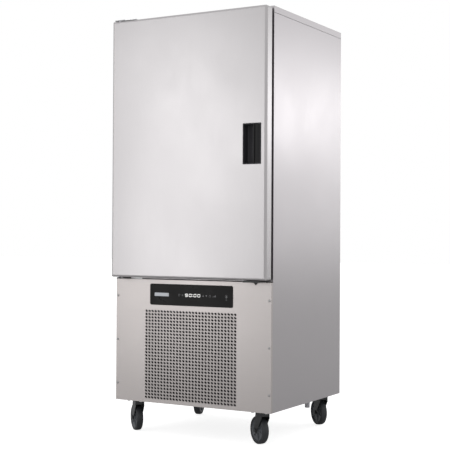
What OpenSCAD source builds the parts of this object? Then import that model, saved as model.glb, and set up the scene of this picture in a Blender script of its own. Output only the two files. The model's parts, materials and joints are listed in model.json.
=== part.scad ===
// Upright blast chiller on casters: an insulated chamber over a machine compartment.
// Z is up, the door faces -Y and is hinged on the left (-X). Sizes are in millimetres.
// The origin is on the floor, at the centre of the footprint.

/* [Cabinet] */
// Width of the cabinet
body_w = 790; // [760:5:860]
// Depth of the cabinet behind the door gap
body_d = 691; // [670:1:760]
// Height of the cabinet above its base
body_h = 1708; // [1650:4:1900]
// Height from the base to the underside of the insulated chamber
machine_h = 550; // [548:1:600]
// Thickness of the insulated walls, skins included
wall_t = 70; // [60:1:80]
// Thickness of the outer sheets
skin_t = 1.2; // [0.8:0.1:2]
// Thickness of the chamber's liner sheets
liner_t = 1; // [0.8:0.1:1.5]
// Depth of the frame round the door opening
frame_d = 12; // [8:1:20]
// Height of the top cover's turned-down edges
top_lip = 27; // [20:1:40]
// Joint between neighbouring sheets
seam = 1.5; // [0.5:0.1:3]
// Width of the side panels' front flange, which takes the lower panel's screws
flange_w = 20; // [18:1:30]
// Thickness of the base pan
pan_t = 2; // [1.5:0.1:3]
// Height of the base pan's upturned edges
pan_lip = 16; // [12:1:25]
// Clearance between fitted fixed parts
fit = 0.2; // [0.1:0.05:0.4]

/* [Door] */
// Thickness of the door
door_t = 52; // [46:1:60]
// Gap between the back of the door and the cabinet
door_gap = 15; // [12:1:20]
// Gap between the door and the lower front panel
door_foot_gap = 9; // [8:0.5:12]
// Gap between the top of the door and the top of the cabinet
door_head_gap = 6.5; // [6:0.5:10]
// Step of the door's hinge edge in from the cabinet's side
door_side_inset = 6; // [4:0.5:10]
// Radius of the door's front edges and corners
door_round = 10; // [6:1:12]
// Radius of the door's upright back edges
door_back_round = 6; // [5:1:8]
// Thickness of the door's outer sheet
door_skin_t = 1; // [0.8:0.1:1.5]
// Width of the door skin's turned-in back edge
door_return = 12; // [8:1:16]
// Height of the raised pan on the inside of the door
door_plug = 10; // [6:1:12]
// Distance from the door's insulation to its rounded edges
foam_edge = 11; // [10:1:20]
// Width of the door seal
seal_w = 18; // [14:1:20]
// Overlap of the door seal's outer edge over the opening
seal_out = 25; // [22:1:30]
// Clearance of the closed seal in front of the cabinet
seal_gap = 0.4; // [0.3:0.1:1]

/* [Handle] */
// Width of the handle's bezel
handle_w = 87; // [80:1:100]
// Height of the handle's bezel
handle_h = 172; // [150:1:200]
// Distance from the door's free edge to the bezel
handle_side = 24.5; // [20:0.5:40]
// Height of the handle's middle above the cabinet's base
handle_mid = 1126; // [1000:5:1250]
// Height that the bezel stands out of the door
bezel_proud = 2; // [1.5:0.1:4]
// Overlap of the bezel over the door's sheet
bezel_lap = 3; // [2:0.5:5]
// Wall thickness of the handle pocket
pocket_wall = 2; // [1.5:0.1:3]
// Depth of the handle pocket behind the door's face
pocket_d = 34; // [28:1:36]
// Width of the grip bar
grip_w = 34; // [26:1:40]
// Thickness of the grip bar
grip_t = 11; // [8:0.5:14]

/* [Hinges] */
// Distance of the hinge axis from the cabinet's left side
hinge_in = 44; // [42:1:50]
// Distance of the hinge axis behind the door's face
hinge_back = 10; // [9:0.5:12]
// Radius of the hinge pins
pin_r = 5; // [4:0.5:5]
// Radial running clearance of pins, shafts and axles
run = 0.05; // [0.02:0.01:0.1]
// Outer radius of the door's hinge bushes
bush_r = 8; // [7:0.5:8.5]
// Length of the hinge bushes
bush_h = 20; // [15:1:25]
// Thickness of the hinge brackets
bracket_t = 4; // [3:0.5:4]
// Half width of a hinge bracket's tongue at the pin
bracket_r = 17; // [14:1:20]
// Thickness of the hinge brackets' mounting flange
bracket_flange_t = 2; // [1.5:0.5:2]
// Height of the hinge brackets' mounting flange
bracket_flange_h = 17; // [12:1:20]
// Reach of the mounting flange past the hinge axis
bracket_reach = 87; // [60:1:100]
// Thickness of the top bracket's side strip
strip_t = 2.5; // [2:0.5:4]
// Clearance between each hinge bracket and the door
hinge_clear = 1.5; // [1:0.1:2]
// Thickness of the washer under the door
washer_t = 2; // [1.5:0.5:2]

/* [Door catch] */
// Width of the catch
catch_w = 77; // [60:1:90]
// Distance from the catch's middle to the cabinet's right side
catch_side = 74; // [60:1:100]
// Height of the tongue below the top of the lower panel
tongue_h = 12; // [8:1:16]
// Width of the tongue at its top
tongue_w = 26; // [16:1:36]
// Thickness of the tongue
tongue_t = 2; // [1.5:0.1:3]

/* [Lower front panel] */
// Height of the lower front panel
panel_h = 546; // [540:1:546]
// Columns of ventilation slots
slot_cols = 29; // [20:1:29]
// Rows of ventilation slots
slot_rows = 28; // [20:1:28]
// Spacing of the slot columns
slot_pitch_x = 16.2; // [15.5:0.1:16.8]
// Spacing of the slot rows
slot_pitch_z = 14.2; // [13.5:0.1:14.5]
// Length of a slot
slot_l = 13.6; // [12:0.1:14]
// Width of a slot
slot_w = 8.2; // [7:0.1:8.4]
// Lean of the slots
slot_lean = 34; // [25:1:40]
// Distance from the base to the middle of the lowest slots
slot_z = 22.5; // [20:0.5:26]
// Offset of the slot field to the left
slot_off = 4; // [0:1:10]
// Distance from the panel's upright edges to its screws
screw_in = 9.5; // [8:0.5:10]
// Height of the lowest screws above the base
screw_z = 76; // [60:1:100]
// Spacing of the screws
screw_pitch = 197; // [180:1:210]
// Radius of the screw heads
screw_head_r = 5.5; // [4:0.5:6]
// Height of the screw heads
screw_head_h = 2.6; // [2:0.1:4]
// Radius of the screw shanks
screw_r = 2.4; // [2:0.1:3]
// Radial clearance of the screw holes
screw_play = 0.3; // [0.2:0.1:0.6]
// Length of the screw shanks
screw_l = 22; // [20:1:30]

/* [Control panel] */
// Width of the control glass
glass_w = 422; // [400:1:440]
// Height of the control glass
glass_h = 94; // [80:1:100]
// Height of the glass's middle above the base
glass_z = 481; // [475:1:485]
// Thickness of the control glass
glass_t = 2; // [1.5:0.1:3]
// Corner radius of the control glass
glass_r = 8; // [4:1:12]
// Overlap of the glass over its cut-out
glass_lap = 6; // [4:0.5:10]
// Thickness of the circuit board
board_t = 1.6; // [1.2:0.1:2]
// Distance from the glass to the circuit board
board_gap = 6; // [5.5:0.5:10]
// Distance of the button from the middle of the glass
button_x = 180; // [150:1:190]
// Radius of the button's cap
button_r = 7; // [5:0.5:9]
// Height that the button stands out of the glass
button_proud = 1; // [0.8:0.1:2]
// Travel of the button
button_travel = 1; // [0.5:0.1:1]
// Radial clearance of the button in the glass
button_play = 0.3; // [0.2:0.05:0.5]
// Height of the display's digits block
display_h = 22; // [16:1:30]
// Width of the display's digits block
display_w = 84; // [60:1:100]
// Distance from the middle of the glass to the display's middle
display_x = 11; // [0:1:40]

/* [Casters] */
// Height of the casters
caster_h = 147; // [146:1:160]
// Radius of the wheels
wheel_r = 60; // [50:1:60]
// Width of the wheels' tread
wheel_w = 30; // [24:1:32]
// Radius of the tread's shoulders
wheel_round = 5; // [3:1:8]
// Width of the wheels' hub
hub_w = 34; // [33:1:36]
// Radius of the wheels' hub
hub_r = 16; // [13:1:18]
// Radius of the wheels' rim inside the tread
rim_r = 46; // [40:1:48]
// Thickness of the wheels' web
web_t = 18; // [12:1:22]
// Radius of the wheels' axles
axle_r = 5; // [4:0.5:6]
// Distance from the swivel axis to the axle
trail = 26; // [24:1:32]
// Distance of the front swivel axes from the cabinet's sides
caster_front_in = 76; // [76:1:95]
// Distance of the rear swivel axes from the cabinet's sides
caster_rear_in = 63; // [55:1:85]
// Distance from the cabinet's face to the front swivel axes
caster_front = 55; // [50:1:90]
// Distance from the cabinet's rear to the rear swivel axes
caster_rear = 69; // [65:1:90]
// Rest angle of the front right caster
turn_front_right = -123; // [-180:1:180]
// Rest angle of the front left caster
turn_front_left = -130; // [-140:1:-120]
// Rest angle of the rear right caster
turn_rear_right = -128; // [-140:1:0]
// Rest angle of the rear left caster
turn_rear_left = 16; // [-60:1:60]
// Width of the caster plates
plate_w = 84; // [80:1:100]
// Depth of the caster plates
plate_d = 76; // [70:1:80]
// Thickness of the caster plates
plate_t = 4; // [3:0.5:5]
// Height of the swivel race under the plate
race_h = 5; // [4:0.5:6]
// Radius of the swivel race
race_r = 26; // [22:1:28]
// Height of the fork's crown
crown_h = 15; // [10:1:16]
// Half length of the fork's crown
crown_r = 24; // [22:1:28]
// Thickness of the fork's legs
leg_t = 3; // [2.5:0.5:4]
// Clearance between the hub and the fork's legs
hub_gap = 1; // [0.5:0.1:2]
// Radius of the fork's ends round the axle
leg_end_r = 13; // [10:1:16]
// Radius of the swivel pin
kingpin_r = 6; // [5:0.5:8]
// Radius of the swivel pin's head
kingpin_head_r = 9; // [8:1:10]
// Thickness of the swivel pin's head
kingpin_head_h = 3; // [2:0.5:3]
// Vertical play of the swivel
swivel_play = 0.3; // [0.2:0.1:0.6]

/* [Chamber fittings] */
// Distance from the chamber's rear wall to the front of the fan cover
cover_back = 190; // [188:1:196]
// Thickness of the fan cover
cover_t = 1.5; // [1:0.1:2]
// Clearance beside the fan cover
cover_side = 35; // [25:1:50]
// Depth of the fan cover's side flanges
cover_flange = 40; // [25:1:60]
// Radius of the evaporator fans
fan_r = 120; // [100:1:130]
// Clearance round the fans in their openings
fan_clear = 8; // [5:1:12]
// Distance of each fan from the middle of the chamber
fan_off = 255; // [200:5:280]
// Radius of the fan hubs
fan_hub_r = 32; // [25:1:40]
// Depth of the fans
fan_t = 26; // [20:1:32]
// Blades of a fan
fan_blades = 5; // [3:1:7]
// Radius of the fan motors' shafts
shaft_r = 4; // [3:0.5:6]
// Radius of the fan motors
motor_r = 44; // [35:1:50]
// Length of the fan motors
motor_l = 52; // [40:1:60]
// Width of the bars of the fan guards
guard_bar = 4; // [3:0.5:6]
// Rings of a fan guard
guard_rings = 5; // [3:1:6]
// Distance of the guards in front of the cover
guard_out = 8; // [5:1:12]
// Depth of the evaporator
coil_d = 70; // [50:1:75]
// Clearance behind the evaporator
coil_back = 14; // [10:1:20]
// Distance from the chamber's side walls to the evaporator
coil_side = 55; // [48:1:90]
// Height of the evaporator's fins above the chamber floor
coil_foot = 40; // [20:1:60]
// Clearance above the evaporator
coil_head = 45; // [30:1:60]
// Spacing of the evaporator's fins
coil_fin = 12; // [10:1:16]
// Thickness of the fins
fin_t = 1.2; // [1:0.1:2]
// Tray runners on each side
runners = 14; // [6:1:14]
// Spacing of the tray runners
runner_pitch = 67; // [60:1:70]
// Height of the lowest runner above the chamber floor
runner_z = 65; // [50:1:80]
// Least clearance from the highest runner to the chamber's roof
runner_head = 60; // [50:1:80]
// Distance from the tray runners to the fan cover
runner_back = 15; // [12:1:40]
// Width of the runners' ledge
runner_w = 27; // [20:1:32]
// Height of the runners' web
runner_h = 20; // [15:1:25]
// Thickness of the runners
runner_t = 1.5; // [1:0.1:2]
// Distance from the face to the front of the runners
runner_y = 36; // [30:1:60]
// Depth of the rack's uprights from the wall
upright_d = 11; // [8:1:14]
// Width of the rack's uprights
upright_w = 25; // [20:1:30]
// Radius of the core probe's needle
needle_r = 2; // [1.5:0.1:3]
// Length of the core probe's needle
needle_l = 110; // [80:5:130]
// Radius of the core probe's grip
probe_r = 8; // [6:0.5:10]
// Length of the core probe's grip
probe_l = 80; // [60:5:100]
// Height of the probe holder above the chamber floor
probe_z = 520; // [450:5:600]
// Distance of the probe from the middle of the chamber
probe_x = 225; // [215:1:250]

/* [Drain] */
// Outer radius of the drain pipe
drain_r = 13; // [10:0.5:13]
// Wall of the drain pipe
drain_wall = 2.5; // [2:0.1:4]
// Distance of the drain from the chamber's right wall
drain_in = 18; // [17:0.5:18.5]
// Distance of the drain behind the fan cover
drain_back = 90; // [86:1:92]
// Length of the drain pipe below the base
drain_l = 52; // [48:1:60]
// Length of the hose spigot at its end
spigot_l = 40; // [38:1:44]
// Step in radius from the drain pipe to the spigot
spigot_step = 1; // [0.5:0.1:1.5]

/* [Machine compartment] */
// Distance from the cabinet's sides to the condenser
cond_side = 159; // [155:1:190]
// Height of the condenser
cond_h = 418; // [380:1:430]
// Depth of the condenser
cond_d = 50; // [40:1:60]
// Distance from the face to the condenser
cond_y = 15; // [10:1:20]
// Spacing of the condenser's fins
cond_fin = 8; // [7:1:12]
// Radius of the condenser fan
cond_fan_r = 172; // [150:1:180]
// Distance from the shroud to the condenser fan
cond_fan_gap = 5; // [3:1:10]
// Depth of the condenser fan
cond_fan_t = 34; // [25:1:40]
// Radius of the condenser fan's motor
cond_motor_r = 50; // [40:1:60]
// Length of the condenser fan's motor
cond_motor_l = 85; // [60:1:100]
// Radius of the compressor's shell
comp_r = 108; // [90:1:115]
// Height of the compressor's shell
comp_h = 270; // [230:5:300]
// Distance of the compressor from the cabinet's left side
comp_side = 200; // [165:1:215]
// Distance of the compressor in front of the rear
comp_y = 205; // [190:1:230]
// Height of the compressor's rubber feet
foot_h = 16; // [12:1:20]
// Radius of the compressor's rubber feet
foot_r = 14; // [10:1:18]
// Half spacing of the compressor's rubber feet
foot_half = 88; // [75:1:95]
// Thickness of the compressor's foot plate
comp_plate_t = 4; // [3:0.5:6]
// Radius of the liquid receiver
tank_r = 48; // [40:1:60]
// Height of the liquid receiver
tank_h = 240; // [180:5:280]
// Distance of the receiver to the right of the middle
tank_x = 60; // [50:1:85]
// Distance of the receiver in front of the rear
tank_y = 200; // [160:1:230]
// Radius of the filter drier
drier_r = 18; // [14:1:22]
// Length of the filter drier
drier_l = 110; // [90:1:130]
// Radius of the suction pipe
suction_r = 8; // [6:0.5:10]
// Radius of the liquid pipe
liquid_r = 5; // [4:0.5:6]
// Distance of the pipes' risers from the chamber's right wall
riser_in = 35; // [31:1:40]
// Height of the suction pipe's run above the compressor
suction_rise = 60; // [45:1:80]
// Height of the suction pipe's inlet above the chamber floor
suction_up = 90; // [80:1:100]
// Height of the liquid pipe's inlet above the chamber floor
liquid_up = 160; // [140:1:180]
// Distance of the filter drier from the receiver's axis
drier_in = 50; // [40:1:60]
// Height of the filter drier above the receiver
drier_up = 40; // [30:1:50]
// Width of the electrical box
ebox_w = 130; // [110:1:135]
// Depth of the electrical box
ebox_d = 220; // [180:5:240]
// Height of the electrical box
ebox_h = 380; // [300:5:400]
// Wall of the electrical box
ebox_t = 1.5; // [1:0.1:2]
// Distance from the face to the electrical box
ebox_y = 60; // [60:1:80]
// Height of the electrical box above the base
ebox_z = 90; // [60:1:110]
// Distance of the cable gland from the cabinet's left side
gland_side = 145; // [135:1:160]
// Distance of the cable gland in front of the rear
gland_y = 60; // [50:1:80]
// Radius of the mains lead's hole in the gland
gland_hole_r = 6.5; // [5:0.5:8]
// Louvre slots in a column of the rear grille
louvres = 14; // [8:1:14]
// Spacing of the louvre slots
louvre_pitch = 30; // [24:1:32]
// Height of the louvre slots
louvre_h = 8; // [5:1:12]
// Length of the louvre slots
louvre_l = 170; // [120:5:190]

/* [Hidden] */
$fn = 48;

// Places along Y, from the front
overall_d = body_d + door_gap + door_t + bezel_proud;
y_rear = overall_d / 2;
y_face = y_rear - body_d;
y_back = y_face - door_gap;
y_front = y_back - door_t;
// Places along Z, from the floor
z_base = caster_h;
z_top = z_base + body_h;
z_under = z_base + machine_h;
z_panel = z_base + panel_h;
z_pan = z_base + pan_t;
// Half widths
x_side = body_w / 2;
x_in = x_side - skin_t;
// Inside of the chamber
ch_x = x_side - wall_t;
ch_y0 = y_face + frame_d;
ch_y1 = y_rear - wall_t;
ch_z0 = z_under + wall_t;
ch_z1 = z_top - wall_t;
ch_zm = (ch_z0 + ch_z1) / 2;
// Door outline
door_x0 = -x_side + door_side_inset;
door_x1 = x_side;
door_z0 = z_panel + door_foot_gap;
door_z1 = z_top - door_head_gap;
hinge_x = -x_side + hinge_in;
hinge_y = y_front + hinge_back;
// Handle outline
handle_x1 = x_side - handle_side;
handle_x0 = handle_x1 - handle_w;
handle_z0 = z_base + handle_mid - handle_h / 2;
handle_z1 = handle_z0 + handle_h;
y_pocket = y_front + pocket_d;
// Door seal
seal_x = ch_x + seal_out;
plug_gap = 8;
plug_x = seal_x - seal_w - plug_gap;
plug_z = seal_w + plug_gap - seal_out;
// Lower panel's screws
screw_x = x_side - screw_in;
screw_zs = [for (i = [0:2]) z_base + screw_z + i * screw_pitch];
// Slots
slot_xs = [for (i = [0:slot_cols - 1]) (i - (slot_cols - 1) / 2) * slot_pitch_x - slot_off];
slot_zs = [for (i = [0:slot_rows - 1]) z_base + slot_z + i * slot_pitch_z];
// Control panel
glass_zm = z_base + glass_z;
y_board = y_back + board_gap;
flange_gap = 0.3;
button_flange_r = button_r + 2;
button_flange_t = 1.5;
switch_h = 2;
// Chamber fittings
y_cover = ch_y1 - cover_back;
fan_gap = 3;
motor_gap = 4;
y_fan = y_cover + cover_t + fan_gap;
y_motor = y_fan + fan_t + motor_gap;
fan_zs = [ch_zm + fan_off, ch_zm - fan_off];
opening_r = fan_r + fan_clear;
coil_y1 = ch_y1 - coil_back;
coil_y0 = coil_y1 - coil_d;
coil_z1 = ch_z1 - coil_head;
coil_half = ch_x - coil_side;
touch = 0.3;
rack_y = y_face + runner_y;
runner_l = y_cover - runner_back - rack_y;
runner_room = ch_z1 - runner_head - ch_z0 - runner_z;
runners_fit = min(runners, 1 + floor(runner_room / runner_pitch));
probe_zb = ch_z0 + probe_z;
holder_h = 30;
y_probe = y_cover - 14;
// Drain
drain_x = ch_x - drain_in;
drain_yc = y_cover + drain_back;
drain_z0 = z_base - drain_l;
strainer_r = drain_r + 3;
bend = 1.06;
// Machine compartment
cond_half = x_side - cond_side;
cond_y0 = y_face + cond_y;
cond_y1 = cond_y0 + cond_d;
cond_z1 = z_pan + cond_h;
cond_zm = z_pan + cond_h / 2;
cond_foot = 12;
cond_end_t = 1.5;
y_shroud = cond_y1 + 2;
y_cfan = y_shroud + skin_t + cond_fan_gap;
y_cmotor = y_cfan + cond_fan_t + motor_gap;
comp_x = x_side - comp_side;
comp_yc = y_rear - comp_y;
comp_z0 = z_pan + foot_h;
foot_neck_r = 6;
tank_yc = y_rear - tank_y;
tank_foot = 3;
tank_z0 = z_pan + tank_foot;
riser_x = ch_x - riser_in;
riser_ya = coil_y0 + 18;
riser_yb = coil_y0 + 46;
pipe_hole = 1;
drier_z = tank_z0 + tank_h + drier_up;
drier_x0 = tank_x + drier_in;
gland_x = x_side - gland_side;
gland_neck = gland_hole_r + 5;
// Casters: place, rest angle
wheel_z = wheel_r;
front_cy = y_face + caster_front;
rear_cy = y_rear - caster_rear;
front_cx = x_side - caster_front_in;
rear_cx = x_side - caster_rear_in;
CASTERS = [
    [front_cx, front_cy, turn_front_right],
    [-front_cx, front_cy, turn_front_left],
    [rear_cx, rear_cy, turn_rear_right],
    [-rear_cx, rear_cy, turn_rear_left]];
race_z = z_base - plate_t - race_h;
crown_z1 = race_z - swivel_play;
crown_z0 = crown_z1 - crown_h;
leg_x = hub_w / 2 + hub_gap;

steel = [0.80, 0.80, 0.79];
dark_steel = [0.42, 0.43, 0.44];
black = [0.10, 0.10, 0.11];
foam = [0.93, 0.87, 0.66];
copper = [0.72, 0.42, 0.25];
grey = [0.35, 0.36, 0.37];

// A box between two opposite corners
module block(low, high) {
    translate(low) cube(high - low);
}
module rod_x(at, r, len) {
    translate(at) rotate([0, 90, 0]) cylinder(r = r, h = len);
}
module rod_y(at, r, len) {
    translate(at) rotate([-90, 0, 0]) cylinder(r = r, h = len);
}
module rod_z(at, r, len) {
    translate(at) cylinder(r = r, h = len);
}
// A flat outline in X and Z, from y0 and as thick as t
module upright(y0, t) {
    translate([0, y0 + t, 0]) rotate([90, 0, 0]) linear_extrude(height = t) children();
}

// ---- Outer casing ----

// The right side panel: one sheet with a front flange beside the machine compartment
module side_panel() {
    difference() {
        union() {
            block([x_in, y_face, z_base], [x_side, y_rear, z_top - top_lip - seam]);
            block([x_side - flange_w, y_face, z_base], [x_side, y_face + skin_t, z_panel]);
        }
        for (z = screw_zs)
            rod_y([screw_x, y_face - 1, z], screw_r + screw_play, skin_t + 2);
    }
}
module left_side_panel() {
    color(steel) mirror([1, 0, 0]) side_panel();
}
module right_side_panel() {
    color(steel) side_panel();
}
module top_cover() {
    color(steel) {
        block([-x_side, y_face, z_top - skin_t], [x_side, y_rear, z_top]);
        for (s = [-1, 1]) {
            low = s > 0 ? x_in : -x_side;
            block([low, y_face, z_top - top_lip], [low + skin_t, y_rear, z_top]);
        }
    }
}
module rear_panel() {
    color(steel)
        block([-x_in, y_rear - skin_t, z_under], [x_in, y_rear, z_top - skin_t]);
}
// Slotted cover behind the machine compartment
module rear_grille() {
    foot = 70;
    mullion = 40;
    color(steel) difference() {
        block([-x_in, y_rear - skin_t, z_base], [x_in, y_rear, z_under - seam]);
        for (i = [0:louvres - 1], s = [-1, 1]) {
            x = s * (louvre_l + mullion) / 2;
            z = z_base + foot + i * louvre_pitch;
            translate([x - louvre_l / 2, y_rear - skin_t - 1, z])
                cube([louvre_l, skin_t + 2, louvre_h]);
        }
    }
}
// Folded pan that carries the machine and the casters
module base_pan() {
    px = x_in - fit;
    py0 = y_face + skin_t + fit;
    py1 = y_rear - skin_t - fit;
    color(dark_steel) difference() {
        block([-px, py0, z_base], [px, py1, z_base + pan_lip]);
        block([pan_t - px, py0 + pan_t, z_pan],
            [px - pan_t, py1 - pan_t, z_base + pan_lip + 1]);
        rod_z([drain_x, drain_yc, z_base - 1], drain_r + 1, pan_t + 2);
        rod_z([-gland_x, y_rear - gland_y, z_base - 1], gland_neck + fit, pan_t + 2);
    }
}
// One leaning slot with pointed ends
module slot() {
    a = slot_l / 2;
    b = slot_w / 2;
    c = slot_w * 0.4;
    rotate(-slot_lean)
        polygon([[-a, 0], [c - a, -b], [a - c, -b], [a, 0], [a - c, b], [c - a, b]]);
}
// Box-bent front of the machine compartment, with the slots and the controls' cut-out
module lower_front_panel() {
    cut_w = glass_w - 2 * glass_lap;
    cut_h = glass_h - 2 * glass_lap;
    color(steel) {
        difference() {
            upright(y_back, skin_t) difference() {
                translate([-x_side, z_base]) square([body_w, panel_h]);
                for (x = slot_xs, z = slot_zs) translate([x, z]) slot();
                translate([-cut_w / 2, glass_zm - cut_h / 2]) square([cut_w, cut_h]);
            }
            for (s = [-1, 1], z = screw_zs)
                rod_y([s * screw_x, y_back - 1, z], screw_r + screw_play, skin_t + 2);
        }
        difference() {
            block([-x_side, y_back + skin_t, z_base], [x_side, y_face - touch, z_panel]);
            block([-x_in, y_back, z_base + skin_t], [x_in, y_face, z_panel - skin_t]);
        }
    }
}
module panel_screws() {
    color(dark_steel) for (s = [-1, 1], z = screw_zs) {
        rod_y([s * screw_x, y_back - screw_head_h, z], screw_head_r, screw_head_h);
        rod_y([s * screw_x, y_back - 0.5, z], screw_r, screw_l);
    }
}
// Frame round the door opening, of four bars
module face_frame() {
    color(steel) {
        for (s = [-1, 1]) {
            low = s > 0 ? ch_x : -x_in;
            block([low, y_face, z_under], [low + x_in - ch_x, ch_y0, z_top - skin_t]);
        }
        block([fit - ch_x, y_face, z_under], [ch_x - fit, ch_y0, ch_z0]);
        block([fit - ch_x, y_face, ch_z1], [ch_x - fit, ch_y0, z_top - skin_t]);
    }
}
// Foam of the chamber's five walls, cast in one piece
module wall_insulation() {
    color(foam) difference() {
        block([-x_in, ch_y0, z_under], [x_in, y_rear - skin_t, z_top - skin_t]);
        block([-ch_x - liner_t, ch_y0 - 1, ch_z0 - liner_t],
            [ch_x + liner_t, ch_y1 + liner_t, ch_z1 + liner_t]);
        chamber_floor_holes(wall_t);
    }
}
module chamber_floor_holes(depth) {
    z = ch_z0 - depth - 1;
    rod_z([drain_x, drain_yc, z], drain_r + pipe_hole, depth + 2);
    rod_z([riser_x, riser_ya, z], suction_r + pipe_hole, depth + 2);
    rod_z([riser_x, riser_yb, z], liquid_r + pipe_hole, depth + 2);
}

// ---- Chamber ----

module liner_left() {
    color(steel)
        block([-ch_x - liner_t, ch_y0, ch_z0], [-ch_x, ch_y1, ch_z1]);
}
module liner_right() {
    color(steel)
        block([ch_x, ch_y0, ch_z0], [ch_x + liner_t, ch_y1, ch_z1]);
}
module liner_roof() {
    color(steel)
        block([-ch_x - liner_t, ch_y0, ch_z1], [ch_x + liner_t, ch_y1, ch_z1 + liner_t]);
}
module liner_rear() {
    color(steel)
        block([-ch_x, ch_y1, ch_z0], [ch_x, ch_y1 + liner_t, ch_z1]);
}
module liner_floor() {
    color(steel) difference() {
        block([-ch_x - liner_t, ch_y0, ch_z0 - liner_t], [ch_x + liner_t, ch_y1, ch_z0]);
        chamber_floor_holes(liner_t);
    }
}
// Finned block: plates across a thin web, seen from above
module fins(half, depth, pitch) {
    count = floor(half / pitch);
    translate([-half, depth / 2 - 1]) square([2 * half, 2]);
    for (i = [-count:count])
        translate([i * pitch - fin_t / 2, 0]) square([fin_t, depth]);
}
module evaporator() {
    color([0.75, 0.77, 0.79]) {
        translate([0, coil_y0, ch_z0 + coil_foot])
            linear_extrude(height = coil_z1 - ch_z0 - coil_foot)
                fins(coil_half, coil_d, coil_fin);
        for (s = [-1, 1])
            block([s * coil_half - fin_t, coil_y0, ch_z0 + touch],
                [s * coil_half + fin_t, coil_y1, coil_z1 + 5]);
    }
}
// Upright cover across the chamber, with an opening for each fan
module fan_cover() {
    cx = ch_x - cover_side;
    color(steel) difference() {
        union() {
            block([-cx, y_cover, ch_z0 + touch], [cx, y_cover + cover_t, ch_z1 - touch]);
            for (s = [-1, 1]) {
                low = s > 0 ? cx - cover_t : -cx;
                block([low, y_cover, ch_z0 + touch],
                    [low + cover_t, y_cover + cover_flange, ch_z1 - touch]);
            }
        }
        for (z = fan_zs) rod_y([0, y_cover - 1, z], opening_r, cover_t + 2);
    }
}
// Flat rings and bars in front of each fan opening
module fan_guards() {
    y0 = y_cover - guard_out;
    t = 3;
    step = (opening_r + 4 - guard_bar) / guard_rings;
    color(dark_steel) for (z = fan_zs) {
        for (i = [1:guard_rings]) difference() {
            rod_y([0, y0, z], i * step + guard_bar, t);
            rod_y([0, y0 - 1, z], i * step, t + 2);
        }
        for (a = [0, 90]) translate([0, y0, z]) rotate([0, a, 0])
            block([-opening_r - 4, 0, -guard_bar / 2], [opening_r + 4, t, guard_bar / 2]);
        for (a = [0:90:270]) translate([0, y0, z]) rotate([0, a, 0])
            block([opening_r + 1, 0, -guard_bar], [opening_r + 5, guard_out, guard_bar]);
    }
}
// Axial fan with pitched blades, on the Y axis through the origin
module fan(r, hub, depth, bore) {
    difference() {
        union() {
            rod_y([0, 0, 0], hub, depth);
            intersection() {
                rod_y([0, 0, 0], r, depth);
                for (i = [0:fan_blades - 1])
                    rotate([0, i * 360 / fan_blades, 0]) translate([0, depth / 2, 0])
                        rotate([28, 0, 0])
                        block([hub / 2, -1.5, -r * 0.3], [r + 5, 1.5, r * 0.3]);
            }
        }
        rod_y([0, -1, 0], bore, depth + 2);
    }
}
module upper_fan() {
    color(grey) translate([0, y_fan, fan_zs[0]])
        fan(fan_r, fan_hub_r, fan_t, shaft_r + run);
}
module lower_fan() {
    color(grey) translate([0, y_fan, fan_zs[1]])
        fan(fan_r, fan_hub_r, fan_t, shaft_r + run);
}
// Motor with a shaft to the front and three arms to the fan cover
module fan_motors() {
    arm_r = opening_r + 14;
    arm_t = 4;
    arm_w = 6;
    y_arm = y_motor + 12;
    color(dark_steel) for (z = fan_zs) translate([0, 0, z]) {
        rod_y([0, y_motor, 0], motor_r, motor_l);
        rod_y([0, y_fan + 2, 0], shaft_r, y_motor - y_fan);
        for (a = [30:120:270]) rotate([0, a, 0]) {
            block([motor_r - 5, y_arm - arm_t, -arm_w], [arm_r, y_arm, arm_w]);
            block([arm_r - arm_t, y_cover + cover_t, -arm_w], [arm_r, y_arm, arm_w]);
        }
    }
}
// Uprights and tray runners of one side, on the right
module rack() {
    ux = ch_x - touch;
    rx = ux - upright_d - fit;
    end = 20;
    color(steel) {
        for (y = [rack_y + end, rack_y + runner_l - end - upright_w])
            block([ux - upright_d, y, ch_z0 + touch], [ux, y + upright_w, ch_z1 - touch]);
        for (i = [0:runners_fit - 1]) {
            z = ch_z0 + runner_z + i * runner_pitch;
            block([rx - runner_t, rack_y, z - runner_h], [rx, rack_y + runner_l, z]);
            block([rx - runner_w, rack_y, z - runner_t], [rx, rack_y + runner_l, z]);
        }
    }
}
module left_rack() {
    mirror([1, 0, 0]) rack();
}
module right_rack() {
    rack();
}
// Needle pointing down through the holder, grip resting on top
module core_probe() {
    at = [-probe_x, y_probe, probe_zb + holder_h];
    color(black) {
        rod_z(at, probe_r, probe_l);
        rod_z([at[0], at[1], at[2] - needle_l], needle_r, needle_l + 1);
    }
}
module probe_holder() {
    at = [-probe_x, y_probe, probe_zb];
    half = 14;
    color(grey) difference() {
        block([at[0] - half, at[1] - probe_r - 2, at[2]], [at[0] + half, y_cover, at[2] + holder_h]);
        rod_z([at[0], at[1], at[2] - 1], needle_r + 0.5, holder_h + 2);
    }
}
// Flanged outlet in the chamber floor, straight pipe and hose spigot below the base
module drain_pipe() {
    color([0.80, 0.80, 0.80]) translate([drain_x, drain_yc, 0]) difference() {
        union() {
            rod_z([0, 0, drain_z0], drain_r - spigot_step, spigot_l + 1);
            rod_z([0, 0, drain_z0 + spigot_l], drain_r, ch_z0 + 1 - drain_z0 - spigot_l);
            rod_z([0, 0, ch_z0 + 0.1], strainer_r, 2);
        }
        rod_z([0, 0, drain_z0 - 1], drain_r - drain_wall, ch_z0 + 4 - drain_z0);
    }
}

// ---- Machine compartment ----

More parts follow.
